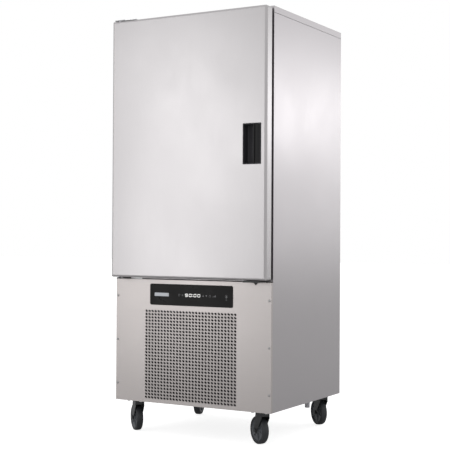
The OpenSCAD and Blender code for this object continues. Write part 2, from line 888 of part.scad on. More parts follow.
// Welded steel shell with a foot plate and a terminal box
module compressor() {
    dome = 34;
    plate = foot_half + 22;
    box_d = 34;
    box_w = 32;
    box_h = 40;
    color(black) translate([-comp_x, comp_yc, comp_z0]) {
        difference() {
            block([-plate, -plate, 0], [plate, plate, comp_plate_t]);
            for (x = [-1, 1], y = [-1, 1])
                rod_z([x * foot_half, y * foot_half, -1], foot_neck_r, comp_plate_t + 2);
        }
        rotate_extrude() {
            square([comp_r - dome, comp_h]);
            square([comp_r, comp_h - dome]);
            intersection() {
                translate([comp_r - dome, comp_h - dome]) circle(r = dome);
                translate([comp_r - dome, comp_h - dome]) square(dome);
            }
        }
        block([comp_r - 8, -box_w, comp_h / 2 - box_h], [comp_r + box_d, box_w, comp_h / 2 + box_h]);
    }
}
module compressor_feet() {
    top = foot_h + comp_plate_t;
    color([0.13, 0.13, 0.13]) for (x = [-1, 1], y = [-1, 1])
        translate([x * foot_half - comp_x, comp_yc + y * foot_half, z_pan])
            difference() {
                union() {
                    rod_z([0, 0, 0], foot_r, foot_h);
                    rod_z([0, 0, 0], foot_neck_r - fit, top);
                    rod_z([0, 0, top], foot_neck_r + 4, 5);
                }
                rod_z([0, 0, -1], foot_neck_r / 2, top + 10);
            }
}
module condenser() {
    color([0.62, 0.60, 0.58]) {
        translate([0, cond_y0, z_pan + cond_foot]) linear_extrude(height = cond_h - 2 * cond_foot)
            fins(cond_half, cond_d, cond_fin);
        for (s = [-1, 1])
            block([s * cond_half - cond_end_t, cond_y0, z_pan],
                [s * cond_half + cond_end_t, cond_y1, cond_z1]);
    }
}
// Plate behind the condenser with a ring round the fan
module condenser_shroud() {
    hole = cond_fan_r + 6;
    ring_d = 26;
    color(dark_steel) difference() {
        union() {
            block([-cond_half - cond_end_t, y_shroud, z_pan],
                [cond_half + cond_end_t, y_shroud + skin_t, cond_z1]);
            rod_y([0, y_shroud, cond_zm], hole + 2, ring_d);
            for (s = [-1, 1])
                block([s * cond_half - cond_end_t, cond_y1, z_pan],
                    [s * cond_half + cond_end_t, y_shroud, cond_z1]);
        }
        rod_y([0, y_shroud - 1, cond_zm], hole, ring_d + 2);
    }
}
module condenser_fan() {
    color(black) translate([0, y_cfan, cond_zm])
        fan(cond_fan_r, fan_hub_r + 10, cond_fan_t, shaft_r + run);
}
module condenser_fan_motor() {
    post = 22;
    foot = 70;
    foot_t = 4;
    mid = y_cmotor + cond_motor_l / 2;
    color(dark_steel) {
        rod_y([0, y_cmotor, cond_zm], cond_motor_r, cond_motor_l);
        rod_y([0, y_cfan + 2, cond_zm], shaft_r, y_cmotor - y_cfan);
        block([-post, mid - post, z_pan], [post, mid + post, cond_zm - cond_motor_r + 8]);
        block([-foot, mid - foot / 2, z_pan], [foot, mid + foot / 2, z_pan + foot_t]);
    }
}
// Upright steel bottle with domed ends on a foot ring
module liquid_receiver() {
    dome = 26;
    ring_r = tank_r - 8;
    color(dark_steel) translate([tank_x, tank_yc, tank_z0]) {
        rotate_extrude() {
            square([tank_r - dome, tank_h]);
            translate([0, dome]) square([tank_r, tank_h - 2 * dome]);
            for (z = [dome, tank_h - dome]) intersection() {
                translate([tank_r - dome, z]) circle(r = dome);
                translate([tank_r - dome, 0]) square([dome, tank_h]);
            }
        }
        difference() {
            rod_z([0, 0, -tank_foot], ring_r, tank_foot + 9);
            rod_z([0, 0, -tank_foot - 1], ring_r - 3, 20);
        }
    }
}
// Filter drier in the liquid line, between the receiver and the riser
module filter_drier() {
    color([0.60, 0.45, 0.30]) difference() {
        union() {
            rod_x([drier_x0, tank_yc, drier_z], drier_r, drier_l);
            rod_x([drier_x0 - 10, tank_yc, drier_z], liquid_r + 4, drier_l + 20);
        }
        rod_x([drier_x0 - 11, tank_yc, drier_z], liquid_r + fit, drier_l + 22);
    }
}
// A pipe through a list of points, with round bends
module pipe(points, r) {
    for (i = [0:len(points) - 2]) {
        step = points[i + 1] - points[i];
        len_i = norm(step);
        tilt = acos(step[2] / len_i);
        turn = atan2(step[1], step[0]);
        translate(points[i]) rotate([0, tilt, turn]) cylinder(r = r, h = len_i);
    }
    for (i = [1:len(points) - 2]) translate(points[i]) sphere(r = r * bend);
}
module refrigerant_pipes() {
    comp_top = comp_z0 + comp_h;
    suction_z = comp_top + suction_rise;
    suction_in = ch_z0 + suction_up;
    liquid_in = ch_z0 + liquid_up;
    liquid_end = drier_x0 + drier_l + 2;
    liquid_x = riser_x - 40;
    color(copper) {
        pipe([[coil_half + fin_t, riser_ya, suction_in], [riser_x, riser_ya, suction_in],
            [riser_x, riser_ya, suction_z], [-comp_x, riser_ya, suction_z],
            [-comp_x, comp_yc, suction_z], [-comp_x, comp_yc, comp_top]], suction_r);
        pipe([[coil_half + fin_t, riser_yb, liquid_in], [riser_x, riser_yb, liquid_in],
            [riser_x, riser_yb, drier_z], [liquid_x, riser_yb, drier_z],
            [liquid_x, tank_yc, drier_z], [liquid_end, tank_yc, drier_z]], liquid_r);
        pipe([[drier_x0 - 2, tank_yc, drier_z], [tank_x, tank_yc, drier_z],
            [tank_x, tank_yc, tank_z0 + tank_h]], liquid_r);
    }
}
// Steel box on the right side panel, open at its back
module electrical_box() {
    x1 = x_in;
    x0 = x1 - ebox_w;
    y0 = y_face + ebox_y;
    y1 = y0 + ebox_d;
    z0 = z_base + ebox_z;
    color([0.70, 0.71, 0.72]) difference() {
        block([x0, y0, z0], [x1, y1, z0 + ebox_h]);
        block([x0 + ebox_t, y0 + ebox_t, z0 + ebox_t],
            [x1 - ebox_t, y1 + 1, z0 + ebox_h - ebox_t]);
    }
}
// Black glass on the lower front panel
module control_glass() {
    x = glass_w / 2 - glass_r;
    z = glass_h / 2 - glass_r;
    color(black) difference() {
        upright(y_back - glass_t, glass_t) translate([0, glass_zm]) union() {
            square([glass_w, 2 * z], center = true);
            square([2 * x, glass_h], center = true);
            for (i = [-1, 1], j = [-1, 1]) translate([i * x, j * z]) circle(r = glass_r);
        }
        rod_y([button_x, y_back - glass_t - 1, glass_zm], button_r + button_play, glass_t + 2);
    }
}
// Cap through the glass, a flange behind it and a short stem to the switch
module power_button() {
    y0 = y_back - glass_t - button_proud;
    y1 = y_back + flange_gap;
    y2 = y1 + button_flange_t;
    color(grey) {
        rod_y([button_x, y0, glass_zm], button_r, y1 - y0);
        rod_y([button_x, y1, glass_zm], button_flange_r, button_flange_t);
        rod_y([button_x, y2, glass_zm], 3, y_board - switch_h - button_travel - flange_gap - y2);
    }
}
// Circuit board on spacers behind the glass, with the display and the button's switch
module control_board() {
    bx = glass_w / 2 - glass_lap - 4;
    bz = glass_h / 2 - glass_lap - 4;
    spacer_r = 4;
    spacer_in = 6;
    switch = 4;
    color([0.10, 0.35, 0.20]) {
        block([-bx, y_board, glass_zm - bz], [bx, y_board + board_t, glass_zm + bz]);
        for (i = [-1, 1], j = [-1, 1])
            rod_y([i * (bx - spacer_in), y_back, glass_zm + j * (bz - spacer_in)],
                spacer_r, board_gap + 0.5);
        block([display_x - display_w / 2, y_back, glass_zm - display_h / 2],
            [display_x + display_w / 2, y_board + 0.5, glass_zm + display_h / 2]);
        block([button_x - switch, y_board - switch_h, glass_zm - switch],
            [button_x + switch, y_board + 0.5, glass_zm + switch]);
    }
}
// Threaded gland in the base pan for the mains lead
module cable_gland() {
    at = [-gland_x, y_rear - gland_y, z_base];
    gland_l = 22;
    color(black) difference() {
        union() {
            rod_z([at[0], at[1], z_base - gland_l], gland_neck + 3, gland_l);
            rod_z([at[0], at[1], z_base], gland_neck, pan_t + 1);
            rod_z([at[0], at[1], z_pan], gland_neck + 4, 6);
        }
        rod_z([at[0], at[1], z_base - gland_l - 1], gland_hole_r, gland_l + 20);
    }
}

// ---- Door ----

// Door outline seen from above, stepped in by a distance
module door_plan(step) {
    rf = door_round - step;
    rb = door_back_round - step;
    x0 = door_x0 + step;
    x1 = door_x1 - step;
    y0 = y_front + step;
    y1 = y_back - step;
    translate([x0 + rf, y0]) square([x1 - x0 - 2 * rf, y1 - y0]);
    translate([x0, y0 + rf]) square([x1 - x0, y1 - y0 - rf - rb]);
    translate([x0 + rb, y1 - door_round]) square([x1 - x0 - 2 * rb, door_round]);
    for (x = [x0 + rf, x1 - rf]) translate([x, y0 + rf]) circle(r = rf);
    for (x = [x0 + rb, x1 - rb]) translate([x, y1 - rb]) circle(r = rb);
}
// Door outline seen from the side, with Y to the right and Z up
module door_profile(step) {
    r = door_round - step;
    y0 = y_front + step;
    z0 = door_z0 + step;
    z1 = door_z1 - step;
    translate([y0, z0 + r]) square([door_t - 2 * step, z1 - z0 - 2 * r]);
    translate([y0 + r, z0]) square([door_t - 2 * step - r, z1 - z0]);
    for (z = [z0 + r, z1 - r]) translate([y0 + r, z]) circle(r = r);
}
// Door outline seen from the front
module door_outline(step) {
    r = door_round - step;
    x0 = door_x0 + step;
    x1 = door_x1 - step;
    z0 = door_z0 + step;
    z1 = door_z1 - step;
    translate([x0, z0 + r]) square([x1 - x0, z1 - z0 - 2 * r]);
    translate([x0 + r, z0]) square([x1 - x0 - 2 * r, z1 - z0]);
    for (x = [x0 + r, x1 - r], z = [z0 + r, z1 - r]) translate([x, z]) circle(r = r);
}
// The door's rounded block, stepped in by a distance
module door_shape(step) {
    intersection() {
        translate([0, 0, door_z0 + step])
            linear_extrude(height = door_z1 - door_z0 - 2 * step) door_plan(step);
        translate([door_x0 + step, 0, 0]) rotate([90, 0, 90])
            linear_extrude(height = door_x1 - door_x0 - 2 * step) door_profile(step);
        upright(y_front + step, door_t - 2 * step) door_outline(step);
    }
}
// The hole that the handle pocket's body fits
module handle_hole(play) {
    block([handle_x0 + bezel_lap - play, y_front - 5, handle_z0 + bezel_lap - play],
        [handle_x1 - bezel_lap + play, y_pocket + play, handle_z1 - bezel_lap + play]);
}
module bush_holes(play) {
    rod_z([hinge_x, hinge_y, door_z0 - 1], bush_r + play, bush_h + 1 + play);
    rod_z([hinge_x, hinge_y, door_z1 - bush_h - play], bush_r + play, bush_h + 1 + play);
}
module door_skin() {
    in = door_return;
    color(steel) difference() {
        door_shape(0);
        door_shape(door_skin_t);
        block([door_x0 + in, y_back - door_skin_t - 1, door_z0 + in],
            [door_x1 - in, y_back + 1, door_z1 - in]);
        handle_hole(fit);
        bush_holes(0.1);
    }
}
// Pressed inner panel with a raised middle
module door_liner() {
    in = door_return + fit;
    px = plug_x;
    pz = plug_z;
    y0 = y_back - door_skin_t;
    color(steel) difference() {
        union() {
            block([door_x0 + in, y0, door_z0 + in], [door_x1 - in, y_back, door_z1 - in]);
            block([-px, y0, ch_z0 + pz], [px, y_back + door_plug, ch_z1 - pz]);
        }
        block([-px + liner_t, y0 - 1, ch_z0 + pz + liner_t],
            [px - liner_t, y_back + door_plug - liner_t, ch_z1 - pz - liner_t]);
    }
}
module door_insulation() {
    px = plug_x - liner_t;
    pz = plug_z + liner_t;
    color(foam) difference() {
        union() {
            block([door_x0 + foam_edge, y_front + door_skin_t, door_z0 + foam_edge],
                [door_x1 - foam_edge, y_back - door_skin_t, door_z1 - foam_edge]);
            block([-px, y_back - door_skin_t - 1, ch_z0 + pz],
                [px, y_back + door_plug - liner_t, ch_z1 - pz]);
        }
        handle_hole(fit);
        bush_holes(0.5);
    }
}
// Magnetic seal, one ring round the door's raised middle
module door_seal() {
    w = seal_x;
    color([0.30, 0.31, 0.32]) difference() {
        block([-w, y_back, ch_z0 - seal_out], [w, y_face - seal_gap, ch_z1 + seal_out]);
        block([seal_w - w, y_back - 1, ch_z0 - seal_out + seal_w],
            [w - seal_w, y_face, ch_z1 + seal_out - seal_w]);
    }
}
// Moulded pocket with a bezel on the door's face
module handle_pocket() {
    lap = bezel_lap;
    in = lap + pocket_wall;
    color(black) difference() {
        union() {
            block([handle_x0, y_front - bezel_proud, handle_z0], [handle_x1, y_front, handle_z1]);
            block([handle_x0 + lap, y_front - 1, handle_z0 + lap],
                [handle_x1 - lap, y_pocket, handle_z1 - lap]);
        }
        block([handle_x0 + in, y_front - bezel_proud - 1, handle_z0 + in],
            [handle_x1 - in, y_pocket - pocket_wall, handle_z1 - in]);
    }
}
// Bar across the right of the pocket, fixed at its ends and outer edge
module handle_grip() {
    in = bezel_lap + pocket_wall;
    x1 = handle_x1 - in;
    y0 = y_front - bezel_proud + 0.5;
    r = 4;
    color(black) translate([0, 0, handle_z0 + in]) linear_extrude(height = handle_h - 2 * in)
        union() {
            translate([x1 - grip_w + r, y0]) square([grip_w - r, grip_t]);
            translate([x1 - grip_w, y0 + r]) square([r + 1, grip_t - 2 * r]);
            for (y = [y0 + r, y0 + grip_t - r])
                translate([x1 - grip_w + r, y]) circle(r = r);
        }
}
module hinge_bushes() {
    color([0.88, 0.88, 0.86]) difference() {
        bush_holes(0);
        rod_z([hinge_x, hinge_y, door_z0 - 2], pin_r + run, bush_h - 2);
        rod_z([hinge_x, hinge_y, door_z1 - bush_h + 4], pin_r + run, bush_h + 2);
        block([door_x0, y_front, door_z0 - 3], [0, y_back, door_z0]);
        block([door_x0, y_front, door_z1], [0, y_back, door_z1 + 3]);
    }
}
// A hinge bracket's mounting flange on the cabinet's face
module bracket_flange(z) {
    block([hinge_x - bracket_r, y_face - bracket_flange_t, z],
        [hinge_x + bracket_reach, y_face, z + bracket_flange_h]);
}
module top_hinge() {
    z = door_z1 + hinge_clear;
    back = y_face - bracket_flange_t;
    tip = y_front + 4;
    wing_left = bracket_r + 10;
    wing_right = bracket_r + 8;
    strip_w = 14;
    color(dark_steel) {
        block([hinge_x - wing_left, tip, z], [hinge_x + wing_right, back + 1, z + bracket_t]);
        block([hinge_x, tip, z], [hinge_x + bracket_reach, tip + strip_w, z + strip_t]);
        bracket_flange(z + bracket_t - bracket_flange_h);
        rod_z([hinge_x, hinge_y, door_z1 - bush_h + 8], pin_r, bush_h - 8 + hinge_clear + 1);
    }
}
module bottom_hinge() {
    z = door_z0 - hinge_clear - bracket_t - washer_t;
    back = y_face - bracket_flange_t;
    top = z + bracket_t;
    color(black) {
        block([hinge_x - bracket_r, hinge_y + 2, z], [hinge_x + bracket_r, back + 1, top]);
        rod_z([hinge_x, hinge_y + 2, z], min(bracket_r, hinge_back + 1), bracket_t);
        bracket_flange(z);
        rod_z([hinge_x, hinge_y, z], pin_r, door_z0 + bush_h - 6 - z);
        rod_z([hinge_x, hinge_y, top], hinge_back - 1, washer_t);
    }
}
// Black catch in the gap under the door, with a pointed tongue on the lower panel
module door_catch() {
    cx = x_side - catch_side;
    z0 = z_panel + touch;
    color(black) {
        block([cx - catch_w / 2, y_front + 6, z0],
            [cx + catch_w / 2, y_face - touch, door_z0 - hinge_clear]);
        upright(y_back - tongue_t, tongue_t)
            polygon([[cx - tongue_w / 2, z0 + 1], [cx, z_panel - tongue_h],
                [cx + tongue_w / 2, z0 + 1]]);
    }
}

// ---- Casters ----

// Each plate carries its swivel pin
module caster_plates() {
    color(dark_steel) for (c = CASTERS) translate([c[0], c[1], 0]) {
        block([-plate_w / 2, -plate_d / 2, z_base - plate_t],
            [plate_w / 2, plate_d / 2, z_base]);
        rod_z([0, 0, race_z], race_r, race_h);
        rod_z([0, 0, crown_z0 - swivel_play - 1], kingpin_r, z_base - crown_z0);
        rod_z([0, 0, crown_z0 - swivel_play - kingpin_head_h], kingpin_head_r, kingpin_head_h);
    }
}
// Fork with its axle bolt; at a rest angle of 0 it trails towards the front
module fork(index) {
    c = CASTERS[index];
    bolt = leg_x + leg_t + run;
    color(dark_steel) translate([c[0], c[1], 0]) rotate([0, 0, c[2]]) {
        difference() {
            union() {
                block([-leg_x - leg_t, -crown_r, crown_z0], [leg_x + leg_t, crown_r, crown_z1]);
                for (x = [-leg_x - leg_t, leg_x]) translate([x, 0, 0]) rotate([90, 0, 90])
                    linear_extrude(height = leg_t) {
                        polygon([[-crown_r, crown_z1], [crown_r, crown_z1],
                            [crown_r, crown_z0 - 8], [leg_end_r * 0.7 - trail, wheel_z - 9],
                            [-leg_end_r * 0.9 - trail, wheel_z + 9]]);
                        translate([-trail, wheel_z]) circle(r = leg_end_r);
                    }
            }
            rod_z([0, 0, crown_z0 - 20], kingpin_r + run, crown_h + 40);
            rod_x([-leg_x - 10, -trail, wheel_z], axle_r + run, 2 * leg_x + 20);
        }
        rod_x([-bolt - 4, -trail, wheel_z], axle_r + 3, 4);
        rod_x([-bolt - 1, -trail, wheel_z], axle_r, 2 * bolt + 2);
        rod_x([bolt, -trail, wheel_z], axle_r + 3, 4);
    }
}
// Wheel with a dished face, a broad hub and rounded tread
module wheel(index) {
    c = CASTERS[index];
    w = wheel_w / 2;
    r = wheel_round;
    color(grey) translate([c[0], c[1], 0]) rotate([0, 0, c[2]])
        translate([0, -trail, wheel_z]) rotate([0, 90, 0]) rotate_extrude() {
            translate([axle_r + run, -hub_w / 2]) square([hub_r - axle_r - run, hub_w]);
            translate([hub_r - 1, -web_t / 2]) square([rim_r - hub_r + 2, web_t]);
            translate([rim_r, -w]) square([wheel_r - r - rim_r, 2 * w]);
            translate([rim_r, r - w]) square([wheel_r - rim_r, 2 * w - 2 * r]);
            for (x = [r - w, w - r]) translate([wheel_r - r, x]) circle(r = r);
        }
}
module fork_front_right() { fork(0); }
module fork_front_left() { fork(1); }
module fork_rear_right() { fork(2); }
module fork_rear_left() { fork(3); }
module wheel_front_right() { wheel(0); }
module wheel_front_left() { wheel(1); }
module wheel_rear_right() { wheel(2); }
module wheel_rear_left() { wheel(3); }

left_side_panel();
right_side_panel();
top_cover();
rear_panel();
rear_grille();
base_pan();
lower_front_panel();
panel_screws();
face_frame();
wall_insulation();
liner_left();
liner_right();
liner_roof();
liner_rear();
liner_floor();
evaporator();
fan_cover();
fan_guards();
upper_fan();
lower_fan();
fan_motors();
left_rack();
right_rack();
core_probe();
probe_holder();
drain_pipe();
compressor();
compressor_feet();
condenser();
condenser_shroud();
condenser_fan();
condenser_fan_motor();
liquid_receiver();
filter_drier();
refrigerant_pipes();
electrical_box();
control_glass();
power_button();
control_board();
cable_gland();
door_skin();
door_insulation();
door_liner();
door_seal();
handle_pocket();
handle_grip();
hinge_bushes();
top_hinge();
bottom_hinge();
door_catch();
caster_plates();
fork_front_right();
fork_front_left();
fork_rear_right();
fork_rear_left();
wheel_front_right();
wheel_front_left();
wheel_rear_right();
wheel_rear_left();
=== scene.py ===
"""Looks of an upright blast chiller on casters. Metres, z up, the door faces -y."""
import json
import math

import bmesh
import bpy
from mathutils import Matrix, Vector


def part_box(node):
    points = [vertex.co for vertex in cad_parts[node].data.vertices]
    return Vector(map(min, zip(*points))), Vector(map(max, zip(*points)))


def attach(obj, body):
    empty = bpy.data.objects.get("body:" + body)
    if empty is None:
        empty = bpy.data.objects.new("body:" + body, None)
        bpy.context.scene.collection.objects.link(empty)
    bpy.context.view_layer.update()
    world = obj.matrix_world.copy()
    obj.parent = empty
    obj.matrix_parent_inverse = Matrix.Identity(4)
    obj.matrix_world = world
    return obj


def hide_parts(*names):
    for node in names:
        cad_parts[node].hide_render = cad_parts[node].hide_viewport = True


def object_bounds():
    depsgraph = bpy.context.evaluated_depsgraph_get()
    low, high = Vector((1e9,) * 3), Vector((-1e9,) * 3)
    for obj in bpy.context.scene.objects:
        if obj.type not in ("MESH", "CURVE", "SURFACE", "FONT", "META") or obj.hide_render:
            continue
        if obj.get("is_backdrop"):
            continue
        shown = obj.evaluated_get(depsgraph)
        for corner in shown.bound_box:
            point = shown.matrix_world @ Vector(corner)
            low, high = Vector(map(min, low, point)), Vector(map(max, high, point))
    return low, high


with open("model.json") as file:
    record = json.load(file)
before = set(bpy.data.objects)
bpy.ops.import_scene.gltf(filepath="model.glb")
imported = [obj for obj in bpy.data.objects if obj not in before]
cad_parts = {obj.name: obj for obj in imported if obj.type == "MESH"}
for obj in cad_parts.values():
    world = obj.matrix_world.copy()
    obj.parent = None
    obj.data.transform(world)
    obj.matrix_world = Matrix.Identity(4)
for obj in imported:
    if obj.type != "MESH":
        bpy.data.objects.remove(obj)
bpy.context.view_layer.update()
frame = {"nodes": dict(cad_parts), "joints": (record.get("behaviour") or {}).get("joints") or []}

mm = 0.001


def link_or_set(tree, socket, value):
    """A socket takes another node's output or a plain value."""
    if isinstance(value, bpy.types.NodeSocket):
        tree.links.new(value, socket)
    else:
        socket.default_value = value


def sum_of(tree, operation, *values, clamp=False):
    """The result of a Math node."""
    node = tree.nodes.new("ShaderNodeMath")
    node.operation = operation
    node.use_clamp = clamp
    for socket, value in zip(node.inputs, values):
        link_or_set(tree, socket, value)
    return node.outputs[0]


def noise(tree, place, scale, detail=2.0, roughness=0.5):
    """Cloudy values from 0 to 1, at so many to the metre."""
    node = tree.nodes.new("ShaderNodeTexNoise")
    tree.links.new(place, node.inputs["Vector"])
    link_or_set(tree, node.inputs["Scale"], scale)
    node.inputs["Detail"].default_value = detail
    node.inputs["Roughness"].default_value = roughness
    return node.outputs["Fac"]


def tinted(tree, colour, factor):
    """A colour made lighter or darker by a factor."""
    node = tree.nodes.new("ShaderNodeVectorMath")
    node.operation = "SCALE"
    link_or_set(tree, node.inputs[0], colour)
    link_or_set(tree, node.inputs["Scale"], factor)
    return node.outputs[0]


# A Mix node's colour sockets by number, because its other sockets share their names
MIX_A, MIX_B, MIX_RESULT = 6, 7, 2


def blend(tree, factor, first, second):
    """The first colour where the factor is 0, the second where it is 1."""
    node = tree.nodes.new("ShaderNodeMix")
    node.data_type = "RGBA"
    link_or_set(tree, node.inputs["Factor"], factor)
    link_or_set(tree, node.inputs[MIX_A], first)
    link_or_set(tree, node.inputs[MIX_B], second)
    return node.outputs[MIX_RESULT]


def new_effect(name, inputs, outputs):
    """An empty node group with named sockets."""
    group = bpy.data.node_groups.new(name, "ShaderNodeTree")
    for label, kind, value in inputs:
        socket = group.interface.new_socket(name=label, in_out="INPUT", socket_type=kind)
        socket.default_value = value
    for label, kind in outputs:
        group.interface.new_socket(name=label, in_out="OUTPUT", socket_type=kind)
    return group, group.nodes.new("NodeGroupInput").outputs, group.nodes.new("NodeGroupOutput").inputs


FLOAT, COLOUR, VECTOR = "NodeSocketFloat", "NodeSocketColor", "NodeSocketVector"
SURFACE = [("Colour", COLOUR), ("Roughness", FLOAT), ("Height", FLOAT)]

# Fine pebbled skin with handling marks and paler edges, for paint, plastic and rubber
moulded_skin, given, made = new_effect("moulded_skin", [
    ("Body colour", COLOUR, (0.1, 0.1, 0.1, 1)), ("Edge colour", COLOUR, (0.3, 0.3, 0.3, 1)),
    ("Edge wear", FLOAT, 0.4), ("Pebble scale", FLOAT, 900.0), ("Base roughness", FLOAT, 0.5)],
    SURFACE)
place = moulded_skin.nodes.new("ShaderNodeTexCoord").outputs["Object"]
pebble = noise(moulded_skin, place, given["Pebble scale"], 3.0)
handled = noise(moulded_skin, place, 14.0, 4.0, 0.6)
pointed = moulded_skin.nodes.new("ShaderNodeNewGeometry").outputs["Pointiness"]
corner = sum_of(moulded_skin, "MULTIPLY", sum_of(moulded_skin, "SUBTRACT", pointed, 0.53), 9.0, clamp=True)
rubbed = sum_of(moulded_skin, "MULTIPLY", corner, handled)
worn = sum_of(moulded_skin, "MULTIPLY", rubbed, given["Edge wear"], clamp=True)
skin_colour = blend(moulded_skin, worn, given["Body colour"], given["Edge colour"])
shade = sum_of(moulded_skin, "MULTIPLY_ADD", handled, 0.35, 0.82)
moulded_skin.links.new(tinted(moulded_skin, skin_colour, shade), made["Colour"])
sheen = sum_of(moulded_skin, "MULTIPLY_ADD", handled, 0.2, -0.1)
rough = sum_of(moulded_skin, "ADD", given["Base roughness"], sheen, clamp=True)
moulded_skin.links.new(rough, made["Roughness"])
moulded_skin.links.new(pebble, made["Height"])


def finish_of(name, effect, values, relief, metallic=0.0, **fixed):
    """A material whose colour, roughness and relief come from one effect."""
    material = bpy.data.materials.new(name)
    material.use_nodes = True
    tree = material.node_tree
    shader = tree.nodes["Principled BSDF"]
    shader.inputs["Metallic"].default_value = metallic
    for label, value in fixed.items():
        shader.inputs[label.replace("_", " ")].default_value = value
    node = tree.nodes.new("ShaderNodeGroup")
    node.node_tree = effect
    for label, value in values.items():
        node.inputs[label].default_value = value
    bump = tree.nodes.new("ShaderNodeBump")
    bump.inputs["Strength"].default_value = relief
    bump.inputs["Distance"].default_value = 0.05 * mm
    tree.links.new(node.outputs["Colour"], shader.inputs["Base Color"])
    tree.links.new(node.outputs["Roughness"], shader.inputs["Roughness"])
    tree.links.new(node.outputs["Height"], bump.inputs["Height"])
    tree.links.new(bump.outputs["Normal"], shader.inputs["Normal"])
    return material


def dress(material, *nodes, edge=0.4):
    """CAD nodes get a material, and their sharp edges a small radius in millimetres."""
    for node in nodes:
        shape = frame["nodes"][node]
        shape.data.materials.clear()
        shape.data.materials.append(material)
        if edge:
            weld = shape.modifiers.new("joined_corners", "WELD")
            weld.merge_threshold = 0.01 * mm
            bevel = shape.modifiers.new("broken_edges", "BEVEL")
            bevel.width = edge * mm
            bevel.segments = 2
            bevel.limit_method = "ANGLE"
            bevel.angle_limit = math.radians(40)
            bevel.harden_normals = True


pan_paint = finish_of("pan_paint", moulded_skin, {
    "Body colour": (0.055, 0.057, 0.06, 1), "Edge colour": (0.25, 0.25, 0.25, 1),
    "Pebble scale": 600.0, "Base roughness": 0.45}, 0.2)
dress(pan_paint, "base_pan")

# ---- Outer casing ----
# Sheets of satin stainless steel, ground in one direction before they were folded.
# They hang on the foamed chamber, and the top cover's edges are turned down over the sides.

# Long fine scratches of ground steel, with faint clouds from wiping
brushed_grain, given, made = new_effect("brushed_grain", [
    ("Steel colour", COLOUR, (0.7, 0.7, 0.7, 1)), ("Grain per metre", VECTOR, (900.0, 900.0, 8.0)),
    ("Grain contrast", FLOAT, 0.1), ("Cloud contrast", FLOAT, 0.05), ("Base roughness", FLOAT, 0.35)],
    SURFACE)
place = brushed_grain.nodes.new("ShaderNodeTexCoord").outputs["Object"]
drawn = brushed_grain.nodes.new("ShaderNodeVectorMath")
drawn.operation = "MULTIPLY"
brushed_grain.links.new(place, drawn.inputs[0])
brushed_grain.links.new(given["Grain per metre"], drawn.inputs[1])
scratch = noise(brushed_grain, drawn.outputs[0], 1.0, 3.0, 0.6)
cloud = noise(brushed_grain, place, 3.5, 3.0, 0.55)
scratch_off = sum_of(brushed_grain, "SUBTRACT", scratch, 0.5)
cloud_off = sum_of(brushed_grain, "SUBTRACT", cloud, 0.5)
shade = sum_of(brushed_grain, "MULTIPLY_ADD", scratch_off, given["Grain contrast"], 1.0)
shade = sum_of(brushed_grain, "MULTIPLY_ADD", cloud_off, given["Cloud contrast"], shade)
brushed_grain.links.new(tinted(brushed_grain, given["Steel colour"], shade), made["Colour"])
rough = sum_of(brushed_grain, "MULTIPLY_ADD", scratch_off, 0.12, given["Base roughness"])
rough = sum_of(brushed_grain, "MULTIPLY_ADD", cloud_off, 0.10, rough)
brushed_grain.links.new(rough, made["Roughness"])
brushed_grain.links.new(scratch, made["Height"])

UPRIGHT_GRAIN = (900.0, 900.0, 8.0)
casing_steel = finish_of("casing_steel", brushed_grain, {
    "Steel colour": (0.410, 0.392, 0.403, 1), "Grain per metre": UPRIGHT_GRAIN,
    "Base roughness": 0.34}, 0.15, metallic=1.0)
dress(casing_steel, "left_side_panel", "right_side_panel", "top_cover", "rear_panel", "face_frame")

# ---- Rear grille ----
# A stainless sheet screwed over the back of the machine compartment.
# Its louvres are sheared and pressed inwards, so that each slot has a hood behind it.


def as_piece(mesh_code, name, material, body, crease=35):
    """The mesh becomes a piece that rides on a body, smooth but for its sharp folds."""
    bmesh.ops.remove_doubles(mesh_code, verts=mesh_code.verts, dist=0.002 * mm)
    bmesh.ops.recalc_face_normals(mesh_code, faces=mesh_code.faces)
    mesh = bpy.data.meshes.new(name)
    mesh_code.to_mesh(mesh)
    mesh_code.free()
    mesh.polygons.foreach_set("use_smooth", [True] * len(mesh.polygons))
    mesh.set_sharp_from_angle(angle=math.radians(crease))
    for one in material if isinstance(material, list) else [material]:
        mesh.materials.append(one)
    piece = bpy.data.objects.new(name, mesh)
    bpy.context.scene.collection.objects.link(piece)
    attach(piece, body)
    return piece


def thick_sheet(mesh_code, outer, inner):
    """Two grids of points become the faces and the rim of one thin sheet."""
    rows, columns = len(outer), len(outer[0])
    for i in range(rows - 1):
        for j in range(columns - 1):
            mesh_code.faces.new((outer[i][j], outer[i][j + 1], outer[i + 1][j + 1], outer[i + 1][j]))
            mesh_code.faces.new((inner[i][j], inner[i + 1][j], inner[i + 1][j + 1], inner[i][j + 1]))
        for j in (0, columns - 1):
            mesh_code.faces.new((outer[i][j], outer[i + 1][j], inner[i + 1][j], inner[i][j]))
    for i in (0, rows - 1):
        for j in range(columns - 1):
            mesh_code.faces.new((outer[i][j], outer[i][j + 1], inner[i][j + 1], inner[i][j]))


dress(casing_steel, "rear_grille")
grille_low, grille_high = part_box("rear_grille")
louvres = bmesh.new()
# A hood's section: how far inwards and how far up
HOOD = ((1.25, 8.4), (3.6, 7.7), (5.8, 6.0), (7.2, 3.4), (7.6, 0.4))
sheet_t = 1.0 * mm
for side in (-105 * mm, 105 * mm):
    for row in range(14):
        z = grille_low.z + 70 * mm + row * 30 * mm
        sheets = []
        for thick in (0, sheet_t):
            sheets.append([[louvres.verts.new((side + x * mm, grille_high.y - into * mm - thick,
                                               z + up * mm + thick * 0.4))
                            for x in (-86 + into, -84 + into, 84 - into, 86 - into)] for into, up in HOOD])
        thick_sheet(louvres, *sheets)
as_piece(louvres, "grille_louvre_hoods", casing_steel, "cabinet")

